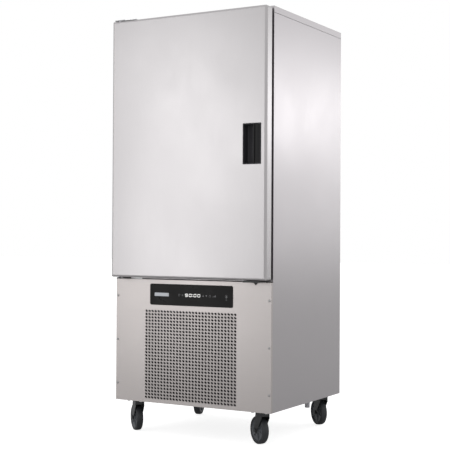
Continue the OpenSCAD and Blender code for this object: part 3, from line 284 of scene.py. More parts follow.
# ---- Chamber ----
# Bright stainless sheets make the tank, and rigid foam is cast between it and the casing.
# A bead of grey sealant closes the joint between the foamed body and the top cover.
LEVEL_GRAIN = (8.0, 900.0, 900.0)
liner_steel = finish_of("liner_steel", brushed_grain, {
    "Steel colour": (0.58, 0.58, 0.582, 1), "Grain per metre": LEVEL_GRAIN,
    "Base roughness": 0.28}, 0.12, metallic=1.0)
dress(liner_steel, "liner_left", "liner_right", "liner_roof", "liner_rear", "liner_floor")
cast_foam = finish_of("cast_foam", moulded_skin, {
    "Body colour": (0.83, 0.74, 0.50, 1), "Edge colour": (0.88, 0.80, 0.60, 1),
    "Pebble scale": 350.0, "Base roughness": 0.85}, 0.8)
dress(cast_foam, "wall_insulation", edge=0)
sealant = finish_of("sealant", moulded_skin, {
    "Body colour": (0.13, 0.13, 0.135, 1), "Edge colour": (0.2, 0.2, 0.2, 1),
    "Pebble scale": 300.0, "Base roughness": 0.5}, 0.4)


def band(mesh_code, near, far):
    """A closed band of faces between two loops of points."""
    for k in range(len(near)):
        after = (k + 1) % len(near)
        mesh_code.faces.new((near[k], near[after], far[after], far[k]))


panel_low, panel_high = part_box("right_side_panel")
joint_z = panel_high.z + 0.75 * mm
beads = bmesh.new()
# The bead's section: outwards from 1.2 mm inside the side's face, and upwards
BEAD = ((-1.2, -0.75), (0.15, -0.75), (0.5, -0.4), (0.6, 0.0), (0.5, 0.4), (0.15, 0.75), (-1.2, 0.75))
for side in (-1, 1):
    near, far = ([beads.verts.new((side * (panel_high.x - 1.2 * mm + out * mm), y, joint_z + up * mm))
                  for out, up in BEAD] for y in (panel_low.y + 1 * mm, panel_high.y - 1 * mm))
    band(beads, near, far)
    beads.faces.new(near)
    beads.faces.new(far)
as_piece(beads, "top_joint_sealant", sealant, "cabinet")

# ---- Evaporator, fan cover and guards ----
# A block of aluminium fins hangs behind a folded stainless cover.
# Two axial fans blow through round openings, each behind a guard of plated wire rings.
fin_metal = finish_of("fin_metal", brushed_grain, {
    "Steel colour": (0.58, 0.58, 0.575, 1), "Grain per metre": (300.0, 300.0, 30.0),
    "Base roughness": 0.42}, 0.2, metallic=1.0)
dress(fin_metal, "evaporator", edge=0)
dress(liner_steel, "fan_cover")


def wire(mesh_code, points, radius, closed=False, sides=10):
    """A round wire through points, as a ring or with capped ends."""
    count = len(points)
    loops = []
    for i, point in enumerate(points):
        ahead = points[(i + 1) % count] if closed or i < count - 1 else point
        behind = points[i - 1] if closed or i > 0 else point
        along = (ahead - behind).normalized()
        side = along.orthogonal().normalized() if not loops else (side - along * side.dot(along)).normalized()
        up = along.cross(side)
        loops.append([mesh_code.verts.new(point + radius * (
            math.cos(2 * math.pi * k / sides) * side + math.sin(2 * math.pi * k / sides) * up))
            for k in range(sides)])
    for i in range(count if closed else count - 1):
        band(mesh_code, loops[i], loops[(i + 1) % count])
    if not closed:
        mesh_code.faces.new(loops[0])
        mesh_code.faces.new(loops[-1])


wire_zinc = finish_of("wire_zinc", moulded_skin, {
    "Body colour": (0.10, 0.105, 0.11, 1), "Edge colour": (0.3, 0.3, 0.3, 1),
    "Pebble scale": 800.0, "Base roughness": 0.35}, 0.1)
guard_low, guard_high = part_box("fan_guards")
fan_boxes = {name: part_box(name) for name in ("upper_fan", "lower_fan", "condenser_fan")}
guards = bmesh.new()
guard_r = (guard_high.x - guard_low.x) / 2 - 2 * mm
wire_r = 1.5 * mm
foot, deep, back = guard_r - 1 * mm, guard_high.y - guard_low.y, Vector((0, 1, 0))
for name in ("upper_fan", "lower_fan"):
    low, high = fan_boxes[name]
    middle = Vector(((low.x + high.x) / 2, guard_low.y + wire_r, (low.z + high.z) / 2))
    for ring in range(1, 7):
        radius = guard_r * ring / 6
        wire(guards, [middle + Vector((radius * math.cos(a), 0, radius * math.sin(a)))
                      for a in (2 * math.pi * k / 72 for k in range(72))], wire_r, closed=True, sides=8)
    for spoke in range(4):
        turn = math.pi / 4 + spoke * math.pi / 2
        out = Vector((math.cos(turn), 0, math.sin(turn)))
        wire(guards, [middle + back * 2.4 * mm + out * 18 * mm,
                      middle + back * 2.4 * mm + out * (foot - 8 * mm),
                      middle + back * 3.4 * mm + out * (foot - 4 * mm),
                      middle + back * (deep - 2.2 * mm) + out * (foot - 1 * mm),
                      middle + back * (deep - 2.0 * mm) + out * foot], 1.3 * mm, sides=8)
guards_piece = as_piece(guards, "fan_guard_rings", wire_zinc, "cabinet")
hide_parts("fan_guards")

# ---- Fans ----
# Moulded plastic fans with five cambered blades, pushed onto their motors' shafts.
# The blades are swept forwards and thin, and the hub is a shell with a boss inside.
fan_plastic = finish_of("fan_plastic", moulded_skin, {
    "Body colour": (0.035, 0.036, 0.04, 1), "Edge colour": (0.15, 0.15, 0.15, 1),
    "Pebble scale": 700.0, "Base roughness": 0.5}, 0.3)


def turned(mesh_code, profile, centre, axis, steps, faces_material=None):
    """A profile of (radius, height) points, turned round an axis."""
    axis = Vector(axis).normalized()
    side = axis.orthogonal().normalized()
    up = axis.cross(side)
    rings = []
    for radius, height in profile:
        at = centre + axis * height
        if radius < 1e-6:
            rings.append([mesh_code.verts.new(at)])
        else:
            rings.append([mesh_code.verts.new(at + radius * (
                math.cos(2 * math.pi * k / steps) * side + math.sin(2 * math.pi * k / steps) * up))
                for k in range(steps)])
    for i in range(len(rings) - 1):
        near, far = rings[i], rings[i + 1]
        for k in range(steps):
            corners = [near[k % len(near)], near[(k + 1) % len(near)],
                       far[(k + 1) % len(far)], far[k % len(far)]]
            distinct = list(dict.fromkeys(corners))
            if len(distinct) > 2:
                face = mesh_code.faces.new(distinct)
                if faces_material:
                    face.material_index = faces_material[i]


def axial_fan(node, body, hub_r):
    """A hub with a boss, and five blades that fill the node's box."""
    low, high = fan_boxes[node]
    depth = high.y - low.y
    centre = Vector(((low.x + high.x) / 2, low.y, (low.z + high.z) / 2))
    tip_r = (high.x - low.x) / 2
    fan = bmesh.new()
    bore, half_t = 4.2 * mm, 0.8 * mm
    turned(fan, [(bore, 0), (hub_r * 0.3, 0), (hub_r * 0.34, 1.2 * mm), (hub_r * 0.86, 2.0 * mm),
                 (hub_r * 0.97, 4.5 * mm), (hub_r, 8 * mm), (hub_r, depth), (hub_r - 2.5 * mm, depth),
                 (hub_r - 2.5 * mm, 9 * mm), (hub_r * 0.34, 7 * mm), (hub_r * 0.34, depth), (bore, depth),
                 (bore, 0)], centre, (0, 1, 0), 40)
    blades, spans, chords = 5, 9, 9
    for blade in range(blades):
        sheets = []
        for face in (-half_t, half_t):
            rows = []
            for i in range(spans):
                out = i / (spans - 1)
                radius = hub_r - 1 * mm + (tip_r - hub_r + 1 * mm) * out
                half = math.radians(30 - 6 * out)
                lead = math.radians(14) * out * out
                row = []
                for j in range(chords):
                    s = 2 * j / (chords - 1) - 1
                    turn = 2 * math.pi * blade / blades + half * s + lead
                    rise = depth * (0.5 - (0.40 - 0.10 * out) * s) - 2.2 * mm * (1 - s * s)
                    y = min(max(rise + face, 0.2 * mm), depth - 0.2 * mm)
                    point = Vector((radius * math.cos(turn), y, radius * math.sin(turn)))
                    row.append(fan.verts.new(centre + point))
                rows.append(row)
            sheets.append(rows)
        thick_sheet(fan, *sheets)
    piece = as_piece(fan, node + "_blades", fan_plastic, body)
    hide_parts(node)


axial_fan("upper_fan", "upper_fan_rotor", 32 * mm)
axial_fan("lower_fan", "lower_fan_rotor", 32 * mm)
axial_fan("condenser_fan", "condenser_fan_rotor", 42 * mm)
motor_enamel = finish_of("motor_enamel", moulded_skin, {
    "Body colour": (0.028, 0.028, 0.03, 1), "Edge colour": (0.12, 0.12, 0.12, 1),
    "Pebble scale": 500.0, "Base roughness": 0.35}, 0.25, Coat_Weight=0.2)
dress(motor_enamel, "fan_motors", "condenser_fan_motor", edge=0.8)

# ---- Thumb screws ----
# Six knurled screws of turned steel, three down each side of the fan cover.
# They are done up by hand, so that the cover comes off without tools.


def in_mm(*pairs):
    """Pairs of millimetres, in metres."""
    return [(a * mm, b * mm) for a, b in pairs]


cover_low, cover_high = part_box("fan_cover")
thumbs = bmesh.new()
THUMB_SCREW = in_mm((0, -8.6), (3.6, -8.6), (4.6, -8), (7, -8), (7.6, -7.4),
                    (7.6, -3.4), (7, -2.8), (4, -2.6), (4, -0.1), (0, -0.1))
for x in (cover_low.x + 15 * mm, cover_high.x - 15 * mm):
    for z in (cover_low.z + 40 * mm, (cover_low.z + cover_high.z) / 2, cover_high.z - 40 * mm):
        at = Vector((x, cover_low.y, z))
        turned(thumbs, THUMB_SCREW, at, (0, 1, 0), 36)
        for k in range(18):
            turn = math.pi * k / 9
            ridge = at + Vector((math.cos(turn), 0, math.sin(turn))) * 7.6 * mm
            wire(thumbs, [ridge - Vector((0, depth, 0)) for depth in (7.2 * mm, 5.4 * mm, 3.6 * mm)],
                 0.35 * mm, sides=6)
thumb_steel = finish_of("thumb_steel", brushed_grain, {
    "Steel colour": (0.5, 0.5, 0.5, 1), "Grain per metre": (1500.0, 1500.0, 1500.0),
    "Base roughness": 0.25}, 0.1, metallic=1.0)
as_piece(thumbs, "cover_thumb_screws", thumb_steel, "cabinet")

# ---- Tray runners ----
# Folded stainless angles, spot welded to two uprights on each side.
# They carry trays by their edges and lift out of the chamber for cleaning.
dress(liner_steel, "left_rack", "right_rack", edge=0.3)

# ---- Core probe ----
# A steel needle in a moulded grip, waisted where the fingers hold it.
# It rests in a moulded holder on the fan cover.
black_moulding = finish_of("black_moulding", moulded_skin, {
    "Body colour": (0.018, 0.018, 0.019, 1), "Edge colour": (0.09, 0.09, 0.09, 1),
    "Pebble scale": 900.0, "Base roughness": 0.42}, 0.25)
dress(black_moulding, "probe_holder", edge=1.5)
probe_steel = finish_of("probe_steel", brushed_grain, {
    "Steel colour": (0.7, 0.7, 0.7, 1), "Grain per metre": (2500.0, 2500.0, 40.0),
    "Base roughness": 0.2}, 0.1, metallic=1.0)


def standing(box):
    """The middle of a box's underside, and its height."""
    low, high = box
    return Vector(((low.x + high.x) / 2, (low.y + high.y) / 2, low.z)), high.z - low.z


probe = bmesh.new()
probe_at, tall = standing(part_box("core_probe"))
shoulder = 110 * mm
steel, moulding = 1, 0
turned(probe, [(0, 0), (0.5 * mm, 2 * mm), (2 * mm, 9 * mm), (2 * mm, shoulder),
               (6.4 * mm, shoulder), (8 * mm, shoulder + 2 * mm), (8 * mm, shoulder + 8 * mm),
               (6.2 * mm, shoulder + 14 * mm), (5.8 * mm, shoulder + 30 * mm), (6.8 * mm, shoulder + 52 * mm),
               (7.4 * mm, tall - 8 * mm), (6.6 * mm, tall - 2.5 * mm), (4.5 * mm, tall), (0, tall)],
       probe_at, (0, 0, 1), 32, [steel] * 3 + [moulding] * 10)
probe_piece = as_piece(probe, "probe_needle_and_grip", [black_moulding, probe_steel],
                       "cabinet")
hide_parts("core_probe")

# ---- Drain ----
# A pale plastic pipe from the chamber's floor, with a pierced steel strainer pressed into its flange.
# Its lower end is a ribbed spigot under the base, for a drain hose.
drain_plastic = finish_of("drain_plastic", moulded_skin, {
    "Body colour": (0.62, 0.61, 0.65, 1), "Edge colour": (0.75, 0.75, 0.75, 1),
    "Pebble scale": 700.0, "Base roughness": 0.4}, 0.2)
drain_at, tall = standing(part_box("drain_pipe"))
drain = bmesh.new()
ribs = []
for k in range(4):
    ribs += in_mm((11.3, 2.0 + 8 * k), (12.0, 6.4 + 8 * k), (12.0, 7.2 + 8 * k), (11.3, 7.9 + 8 * k))
rim = [(10.5 * mm, 0.4 * mm)]
shank = in_mm((11.9, 38.5), (12.6, 40), (13, 40.6))
flange = [(13 * mm, tall - 3 * mm), (15.6 * mm, tall - 2 * mm), (16 * mm, tall - 1.4 * mm),
          (15.7 * mm, tall - 0.3 * mm), (15 * mm, tall), (11 * mm, tall - 0.2 * mm),
          (10.5 * mm, tall - 0.8 * mm)]
turned(drain, rim + in_mm((10.9, 0), (11.2, 0.3)) + ribs + shank + flange + rim, drain_at, (0, 0, 1), 48)
strainer = bmesh.new()
turned(strainer, [(9 * mm, tall - 2.6 * mm), (10.45 * mm, tall - 2.6 * mm), (10.45 * mm, tall - 1.6 * mm),
                  (9 * mm, tall - 1.6 * mm), (9 * mm, tall - 2.6 * mm)], drain_at, (0, 0, 1), 40)
right, back = Vector((1, 0, 0)), Vector((0, 1, 0))
inner_r, wire_gap = 9.6, 2.6
for k in range(-3, 4):
    half = math.sqrt(inner_r ** 2 - (wire_gap * k) ** 2) * mm
    for along, across in ((right, back), (back, right)):
        at = drain_at + Vector((0, 0, tall - 2.1 * mm)) + across * wire_gap * k * mm
        wire(strainer, [at - along * half, at, at + along * half], 0.55 * mm, sides=6)
drain_piece = as_piece(drain, "drain_pipe_and_spigot", drain_plastic, "cabinet")
as_piece(strainer, "drain_strainer", thumb_steel, "cabinet")
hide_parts("drain_pipe")

# ---- Refrigerating machine ----
# A black enamelled compressor on rubber feet, with its receiver, drier and brazed copper pipes.
# The two halves of the compressor's shell and the ends of the receiver are joined by weld seams.
copper_tube = finish_of("copper_tube", brushed_grain, {
    "Steel colour": (0.66, 0.33, 0.19, 1), "Grain per metre": (200.0, 200.0, 200.0),
    "Grain contrast": 0.3, "Base roughness": 0.3}, 0.2, metallic=1.0)
dress(motor_enamel, "compressor", "liquid_receiver", edge=1.2)
dress(copper_tube, "filter_drier", "refrigerant_pipes", edge=0)
foot_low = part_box("compressor")[0]
shell_at = Vector((foot_low.x + 110 * mm, foot_low.y + 110 * mm, foot_low.z))
tank_at, tank_h = standing(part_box("liquid_receiver"))
seams = bmesh.new()
for at, radius, height in ((shell_at, 108 * mm, 128 * mm), (tank_at, 48 * mm, 40 * mm),
                           (tank_at, 48 * mm, tank_h - 36 * mm)):
    turned(seams, [(radius - 0.6 * mm, height - 5 * mm), (radius + 0.9 * mm, height - 3.4 * mm),
                   (radius + 1.8 * mm, height - 1.2 * mm), (radius + 1.8 * mm, height + 1.2 * mm),
                   (radius + 0.9 * mm, height + 3.4 * mm), (radius - 0.6 * mm, height + 5 * mm),
                   (radius - 0.6 * mm, height - 5 * mm)], at, (0, 0, 1), 72)
as_piece(seams, "weld_seams", motor_enamel, "cabinet")
stubs = bmesh.new()
SERVICE_TUBE = ((-40, -96, 78), (-44, -106, 79), (-48, -113, 86),
                (-49, -115, 98), (-49, -115, 128), (-49, -115, 136))
CHARGING_TUBE = ((42, -92, 60), (46, -101, 60), (52, -108, 66), (54, -110, 80), (54, -110, 112))
for route, tube_r in ((SERVICE_TUBE, 4 * mm), (CHARGING_TUBE, 3.2 * mm)):
    wire(stubs, [shell_at + Vector(p) * mm for p in route], tube_r, sides=12)
as_piece(stubs, "process_tubes", copper_tube, "cabinet")
foot_rubber = finish_of("foot_rubber", moulded_skin, {
    "Body colour": (0.02, 0.02, 0.02, 1), "Edge colour": (0.08, 0.08, 0.08, 1),
    "Pebble scale": 400.0, "Base roughness": 0.75}, 0.5)
dress(foot_rubber, "compressor_feet", edge=1.0)
dress(pan_paint, "condenser_shroud")
coated_fins = finish_of("coated_fins", moulded_skin, {
    "Body colour": (0.02, 0.02, 0.021, 1), "Edge colour": (0.12, 0.12, 0.12, 1),
    "Pebble scale": 300.0, "Base roughness": 0.55}, 0.3)
dress(coated_fins, "condenser", edge=0)
fin_low, fin_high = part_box("condenser")
hairpins = bmesh.new()
for side, edge_x in ((-1, fin_low.x), (1, fin_high.x)):
    for row in range(12):
        z = fin_low.z + (32 + 32 * row) * mm
        middle = Vector((edge_x, (fin_low.y + fin_high.y) / 2, z))
        turns = [math.pi * k / 10 for k in range(11)]
        wire(hairpins, [middle + Vector((side * (-1 + 11 * math.sin(a)) * mm, -13 * math.cos(a) * mm, 0))
                        for a in turns], 4.5 * mm, sides=12)
as_piece(hairpins, "condenser_hairpins", copper_tube, "cabinet")
plated_sheet = finish_of("plated_sheet", brushed_grain, {
    "Steel colour": (0.5, 0.51, 0.53, 1), "Grain per metre": (90.0, 90.0, 90.0),
    "Grain contrast": 0.25, "Base roughness": 0.4}, 0.1, metallic=1.0)
dress(plated_sheet, "electrical_box")
gland_at = standing(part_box("cable_gland"))[0]
gland = bmesh.new()
turned(gland, in_mm((6.5, 0.6), (7.2, 0), (9.6, 0.3), (11.6, 2.2), (12.4, 5.4), (12.6, 9), (12.6, 22),
                    (11.5, 22), (11.5, 30), (6.5, 30), (6.5, 0.6)), gland_at, (0, 0, 1), 40)
turned(gland, in_mm((11, 8), (13.6, 8), (14.4, 8.8), (14.4, 20.6), (13.8, 21.4), (11, 21.4), (11, 8)),
       gland_at, (0, 0, 1), 6)
turned(gland, in_mm((11, 24.1), (14.8, 24.1), (15.4, 24.8), (15.4, 29.2), (14.8, 29.9), (11, 29.9),
                    (11, 24.1)), gland_at, (0, 0, 1), 6)
gland_piece = as_piece(gland, "gland_and_nuts", black_moulding, "cabinet", crease=25)
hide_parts("cable_gland")

# ---- Lower front panel ----
# A box-bent stainless front, ground level and pierced with leaning slots for the condenser's air.
# Three dome-headed screws down each side hold it to the side panels' flanges.
front_steel = finish_of("front_steel", brushed_grain, {
    "Steel colour": (0.430, 0.402, 0.395, 1), "Grain per metre": LEVEL_GRAIN,
    "Base roughness": 0.36}, 0.15, metallic=1.0)


def place_in(tree):
    """X, Y and Z of the point that is shaded, in metres."""
    spot = tree.nodes.new("ShaderNodeSeparateXYZ")
    tree.links.new(tree.nodes.new("ShaderNodeTexCoord").outputs["Object"], spot.inputs[0])
    return spot.outputs


def effect_colour(tree):
    """The colour that a material's effect puts out."""
    return next(node for node in tree.nodes if node.type == "GROUP").outputs["Colour"]


# Painted shade: the sheet over the field of slots is darkened, fading in at its edges, where the pressed
# louvres catch less light
tree = front_steel.node_tree
spot = place_in(tree)
slots_x, slots_half_w = -4 * mm, 236 * mm
slots_z, slots_half_h = 361 * mm, 200 * mm
shade_fade, shade_depth = 8 * mm, 0.2
slot_field = []
for axis, middle, half in (("X", slots_x, slots_half_w), ("Z", slots_z, slots_half_h)):
    off_middle = sum_of(tree, "ABSOLUTE", sum_of(tree, "SUBTRACT", spot[axis], middle))
    from_edge = sum_of(tree, "SUBTRACT", half, off_middle)
    slot_field.append(sum_of(tree, "DIVIDE", from_edge, shade_fade, clamp=True))
# The painted shade takes a fifth off the steel's colour inside the slot field
shaded_by = sum_of(tree, "MULTIPLY_ADD", sum_of(tree, "MULTIPLY", *slot_field), -shade_depth, 1.0)
painted_shade_colour = tinted(tree, effect_colour(tree), shaded_by)
tree.links.new(painted_shade_colour, tree.nodes["Principled BSDF"].inputs["Base Color"])
dress(front_steel, "lower_front_panel", edge=0)
screw_steel = finish_of("screw_steel", brushed_grain, {
    "Steel colour": (0.33, 0.33, 0.33, 1), "Grain per metre": (700.0, 700.0, 700.0),
    "Base roughness": 0.3}, 0.1, metallic=1.0)
screw_low, screw_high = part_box("panel_screws")
head_r, head_h, screw_pitch = 5.5 * mm, 2.6 * mm, 197 * mm
screws = bmesh.new()
dome = in_mm((0, 1.6), (1.5, 1.6), (1.7, 0.15), (2.6, 0), (4.2, 0.45), (5.1, 1.2))
shank = [(head_r, 2.1 * mm), (head_r, head_h), (2.4 * mm, head_h), (2.4 * mm, 22 * mm), (0, 24 * mm)]
for x in (screw_low.x + head_r, screw_high.x - head_r):
    for step in range(3):
        z = screw_low.z + head_r + step * screw_pitch
        turned(screws, dome + shank, Vector((x, screw_low.y, z)), (0, 1, 0), 24)
screws_piece = as_piece(screws, "panel_screw_heads", screw_steel, "cabinet")
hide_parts("panel_screws")

# ---- Controls ----
# A sheet of black glass stuck over the cut-out, printed from behind, with lit digits and touch marks.
# The start button is a separate cap that goes through the glass to a switch on the board.
control_black = finish_of("control_black", moulded_skin, {
    "Body colour": (0.005, 0.0045, 0.0045, 1), "Edge colour": (0.03, 0.03, 0.03, 1),
    "Pebble scale": 60.0, "Base roughness": 0.3}, 0.02, Specular_IOR_Level=0.12)
dress(control_black, "control_glass", edge=0.4)
board_green = finish_of("board_green", moulded_skin, {
    "Body colour": (0.02, 0.14, 0.06, 1), "Edge colour": (0.3, 0.3, 0.1, 1),
    "Pebble scale": 300.0, "Base roughness": 0.4}, 0.3)
dress(board_green, "control_board", edge=0)


def lit(name, colour, strength):
    """A printed or lit mark behind the glass."""
    material = finish_of(name, moulded_skin, {
        "Body colour": (*colour, 1), "Edge colour": (*colour, 1), "Pebble scale": 200.0,
        "Base roughness": 0.3}, 0.02, Emission_Strength=strength)
    material.node_tree.nodes["Principled BSDF"].inputs["Emission Color"].default_value = (*colour, 1)
    return material


def tile(mesh_code, outline, y, thick):
    """A thin flat tile with an outline in x and z."""
    front = [mesh_code.verts.new((x, y, z)) for x, z in outline]
    rear = [mesh_code.verts.new((x, y + thick, z)) for x, z in outline]
    mesh_code.faces.new(front)
    mesh_code.faces.new(rear)
    band(mesh_code, front, rear)


def round_corners(x0, x1, z0, z1, radius):
    """A rectangle with round corners."""
    points = []
    steps = 5
    for cx, cz, start in ((x1 - radius, z1 - radius, 0), (x0 + radius, z1 - radius, 90),
                          (x0 + radius, z0 + radius, 180), (x1 - radius, z0 + radius, 270)):
        for k in range(steps + 1):
            turn = math.radians(start + 90 * k / steps)
            points.append((cx + radius * math.cos(turn), cz + radius * math.sin(turn)))
    return points


glass_low, glass_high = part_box("control_glass")
glass_mid = (glass_low.z + glass_high.z) / 2
digit_t, mark_t = 0.12 * mm, 0.1 * mm
print_y = glass_low.y - digit_t
SEGMENTS = {"0": "abcdef", "9": "abcdfg"}
digit_w, digit_h, stroke, lean = 14.5 * mm, 13.5 * mm, 2.6 * mm, 0.06


def bar(x0, z0, x1, z1):
    """One bar of a digit, with pointed ends, leaning with the digit."""
    along = Vector((x1 - x0, z1 - z0)).normalized()
    across = Vector((-along.y, along.x)) * stroke / 2
    a, b = Vector((x0, z0)), Vector((x1, z1))
    inset = along * stroke / 2
    c, d = a + inset, b - inset
    return [tuple(p) for p in (a, c - across, d - across, b, d + across, c + across)]


digits = bmesh.new()
for number, left in zip("9000", (-28, -8.5, 15.5, 35)):
    x0, x1 = left * mm + stroke / 2, left * mm + digit_w - stroke / 2
    z0, z1 = glass_mid - digit_h / 2 + stroke / 2, glass_mid + digit_h / 2 - stroke / 2
    zm = (z0 + z1) / 2
    bars = {"a": (x0, z1, x1, z1), "b": (x1, zm, x1, z1), "c": (x1, z0, x1, zm), "d": (x0, z0, x1, z0),
            "e": (x0, z0, x0, zm), "f": (x0, zm, x0, z1), "g": (x0, zm, x1, zm)}
    for letter in SEGMENTS[number]:
        outline = [(x + lean * (z - zm), z) for x, z in bar(*bars[letter])]
        tile(digits, outline, print_y, digit_t)
for z in (glass_mid - 4 * mm, glass_mid + 4 * mm):
    dot = round_corners(9.4 * mm, 12.6 * mm, z - 1.6 * mm, z + 1.6 * mm, 1.2 * mm)
    tile(digits, dot, print_y, digit_t)
as_piece(digits, "display_digits", lit("display_white", (0.9, 0.9, 0.88), 0.6), "cabinet")

marks = bmesh.new()


def ring_mark(x, z, radius, line):
    """A thin ring, as the sign of a touch key."""
    for k in range(24):
        a, b = (2 * math.pi * (k + i) / 24 for i in (0, 1))
        ends = ((radius, a), (radius, b), (radius - line, b), (radius - line, a))
        tile(marks, [(x + r * math.cos(t), z + r * math.sin(t)) for r, t in ends], print_y, mark_t)


ring_mark(-58 * mm, glass_mid, 5 * mm, 1 * mm)
star_at = Vector((-41 * mm, glass_mid))
for turn in range(6):
    out = Vector((math.cos(turn * math.pi / 3), math.sin(turn * math.pi / 3)))
    wide = Vector((-out.y, out.x)) * 0.45 * mm
    tip = star_at + out * 5 * mm
    tile(marks, [tuple(p) for p in (star_at + wide, tip + wide, tip - wide, star_at - wide)], print_y, mark_t)
for x, up in ((64, 1), (80, -1)):
    foot_z, point_z = glass_mid - up * 3 * mm, glass_mid + up * 4 * mm
    tile(marks, [((x - 4) * mm, foot_z), ((x + 4) * mm, foot_z), (x * mm, point_z)], print_y, mark_t)
ring_mark(98 * mm, glass_mid, 5 * mm, 1 * mm)
clock_hand = round_corners(97.4 * mm, 98.6 * mm, glass_mid - 0.5 * mm, glass_mid + 3 * mm, 0.3 * mm)
tile(marks, clock_hand, print_y, mark_t)
for k in range(3):
    level = round_corners((112 + 6 * k) * mm, (115 + 6 * k) * mm,
                          glass_mid - 4 * mm, glass_mid + (-1 + 2.5 * k) * mm, 0.6 * mm)
    tile(marks, level, print_y, mark_t)
button_x = 180 * mm
ring_mark(button_x, glass_mid - 14.5 * mm, 2.4 * mm, 0.8 * mm)
as_piece(marks, "touch_marks", lit("touch_grey", (0.16, 0.16, 0.17), 0.05), "cabinet")

# A blank plate of satin aluminium at the left of the glass
plate_metal = finish_of("plate_metal", brushed_grain, {
    "Steel colour": (0.34, 0.35, 0.375, 1), "Grain per metre": (30.0, 2000.0, 2000.0),
    "Base roughness": 0.35}, 0.1, metallic=0.7)
plate = bmesh.new()
plate_t, plate_half_h = 0.8 * mm, 7.5 * mm
outline = round_corners(-186 * mm, -112 * mm, glass_mid - plate_half_h, glass_mid + plate_half_h, 2 * mm)
tile(plate, outline, glass_low.y - plate_t, plate_t)
bmesh.ops.bevel(plate, geom=plate.edges[:], offset=0.25 * mm, segments=2, affect="EDGES")
as_piece(plate, "blank_plate", plate_metal, "cabinet")

button_low, button_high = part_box("power_button")
button_gloss = finish_of("button_gloss", moulded_skin, {
    "Body colour": (0.02, 0.02, 0.022, 1), "Edge colour": (0.12, 0.12, 0.12, 1),
    "Pebble scale": 60.0, "Base roughness": 0.25}, 0.02, Coat_Weight=0.3)
button = bmesh.new()
button_at = Vector((button_x, button_low.y, glass_mid))
deep = button_high.y - button_low.y
cap = in_mm((0, 0.5), (3.5, 0.35), (5.6, 0.05), (6.4, 0), (6.9, 0.3),
            (7, 0.8), (7, 3.3), (9, 3.3), (9, 4.8), (3, 4.8))
turned(button, cap + [(3 * mm, deep), (0, deep)], button_at, (0, 1, 0), 40)
button_piece = as_piece(button, "start_button_cap", button_gloss, "button")
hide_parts("power_button")

# ---- Door ----
# A folded stainless shell with soft front edges, filled with foam, and a pressed inner panel.
# A soft magnetic seal is pushed into the groove round the inner panel.
door_steel = finish_of("door_steel", brushed_grain, {
    "Steel colour": (0.430, 0.416, 0.422, 1), "Grain per metre": UPRIGHT_GRAIN,
    "Base roughness": 0.34}, 0.15, metallic=1.0)
dress(door_steel, "door_skin", edge=0)
dress(liner_steel, "door_liner", edge=1.5)
dress(cast_foam, "door_insulation", edge=0)
seal_rubber = finish_of("seal_rubber", moulded_skin, {
    "Body colour": (0.27, 0.27, 0.275, 1), "Edge colour": (0.33, 0.33, 0.33, 1),
    "Pebble scale": 500.0, "Base roughness": 0.6}, 0.4)
seal_low, seal_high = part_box("door_seal")
# The seal's section: how far in from its outer edge and how far back, in millimetres
SEAL_SECTION = [(3, 0), (15, 0), (15, 2.5), (17, 4.2), (17, 5.6), (14.5, 7.6), (17.4, 9.2), (18, 10.2),
                (18, 13.8), (17.2, 14.6), (0.8, 14.6), (0, 13.8), (0, 10.2), (0.6, 9.2), (3.5, 7.6), (1, 5.6),
                (1, 4.2), (3, 2.5)]
seal = bmesh.new()
corners = [[seal.verts.new((seal_low.x + u * mm if left else seal_high.x - u * mm, seal_low.y + w * mm,
                            seal_low.z + u * mm if foot else seal_high.z - u * mm)) for u, w in SEAL_SECTION]
           for left, foot in ((True, True), (False, True), (False, False), (True, False))]
for i in range(4):
    band(seal, corners[i], corners[(i + 1) % 4])
seal_piece = as_piece(seal, "door_seal_bellows", seal_rubber, "door")
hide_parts("door_seal")

# ---- Handle ----
# A moulded black pocket clipped into a cut-out of the door, with a narrow frame on the sheet.
# An upright grip bar closes its outer side, so that the fingers reach behind it from the left.
handle_black = finish_of("handle_black", moulded_skin, {
    "Body colour": (0.009, 0.009, 0.0098, 1), "Edge colour": (0.03, 0.03, 0.03, 1),
    "Pebble scale": 900.0, "Base roughness": 0.42}, 0.25, Specular_IOR_Level=0.2)
# The pocket's black is lighter than the grip's as painted light, lifting the shade inside the recess
pocket_black_painted_light = finish_of("pocket_black_painted_light", moulded_skin, {
    "Body colour": (0.034, 0.033, 0.038, 1), "Edge colour": (0.05, 0.05, 0.05, 1),
    "Pebble scale": 900.0, "Base roughness": 0.5}, 0.25, Specular_IOR_Level=0.3)
pocket_low, pocket_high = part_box("handle_pocket")
pocket = bmesh.new()
front, back = pocket_low.y, pocket_high.y
loops = []
for inset, y, radius in (
        (3.0, back, 2.5), (3.0, front + 2.0 * mm, 2.5), (0.0, front + 2.0 * mm, 3.5),
        (0.0, front + 1.2 * mm, 3.5), (0.8, front + 0.2 * mm, 3.0), (1.6, front, 2.6),
        (3.6, front, 2.2), (4.6, front + 0.5 * mm, 2.0), (5.0, front + 1.6 * mm, 2.0),
        (6.4, back - 8 * mm, 3.0), (8.0, back - 4 * mm, 4.0), (11.0, back - 2 * mm, 4.5)):
    outline = round_corners(pocket_low.x + inset * mm, pocket_high.x - inset * mm,
                            pocket_low.z + inset * mm, pocket_high.z - inset * mm, radius * mm)
    loops.append([pocket.verts.new((x, y, z)) for x, z in outline])
for near, far in zip(loops, loops[1:]):
    band(pocket, near, far)
pocket.faces.new(loops[0])
pocket.faces.new(loops[-1])
pocket_piece = as_piece(pocket, "handle_pocket_shell", pocket_black_painted_light, "door", crease=30)
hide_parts("handle_pocket")
grip_low, grip_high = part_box("handle_grip")
grip = bmesh.new()
section = []
left, front = grip_low.x, grip_low.y
lip = 4.2 * mm
depth = grip_high.y - front
for k in range(9):
    turn = math.radians(90 + 180 * k / 8)
    section.append((left + lip + lip * math.cos(turn), front + depth / 2 + (depth / 2) * math.sin(turn)))
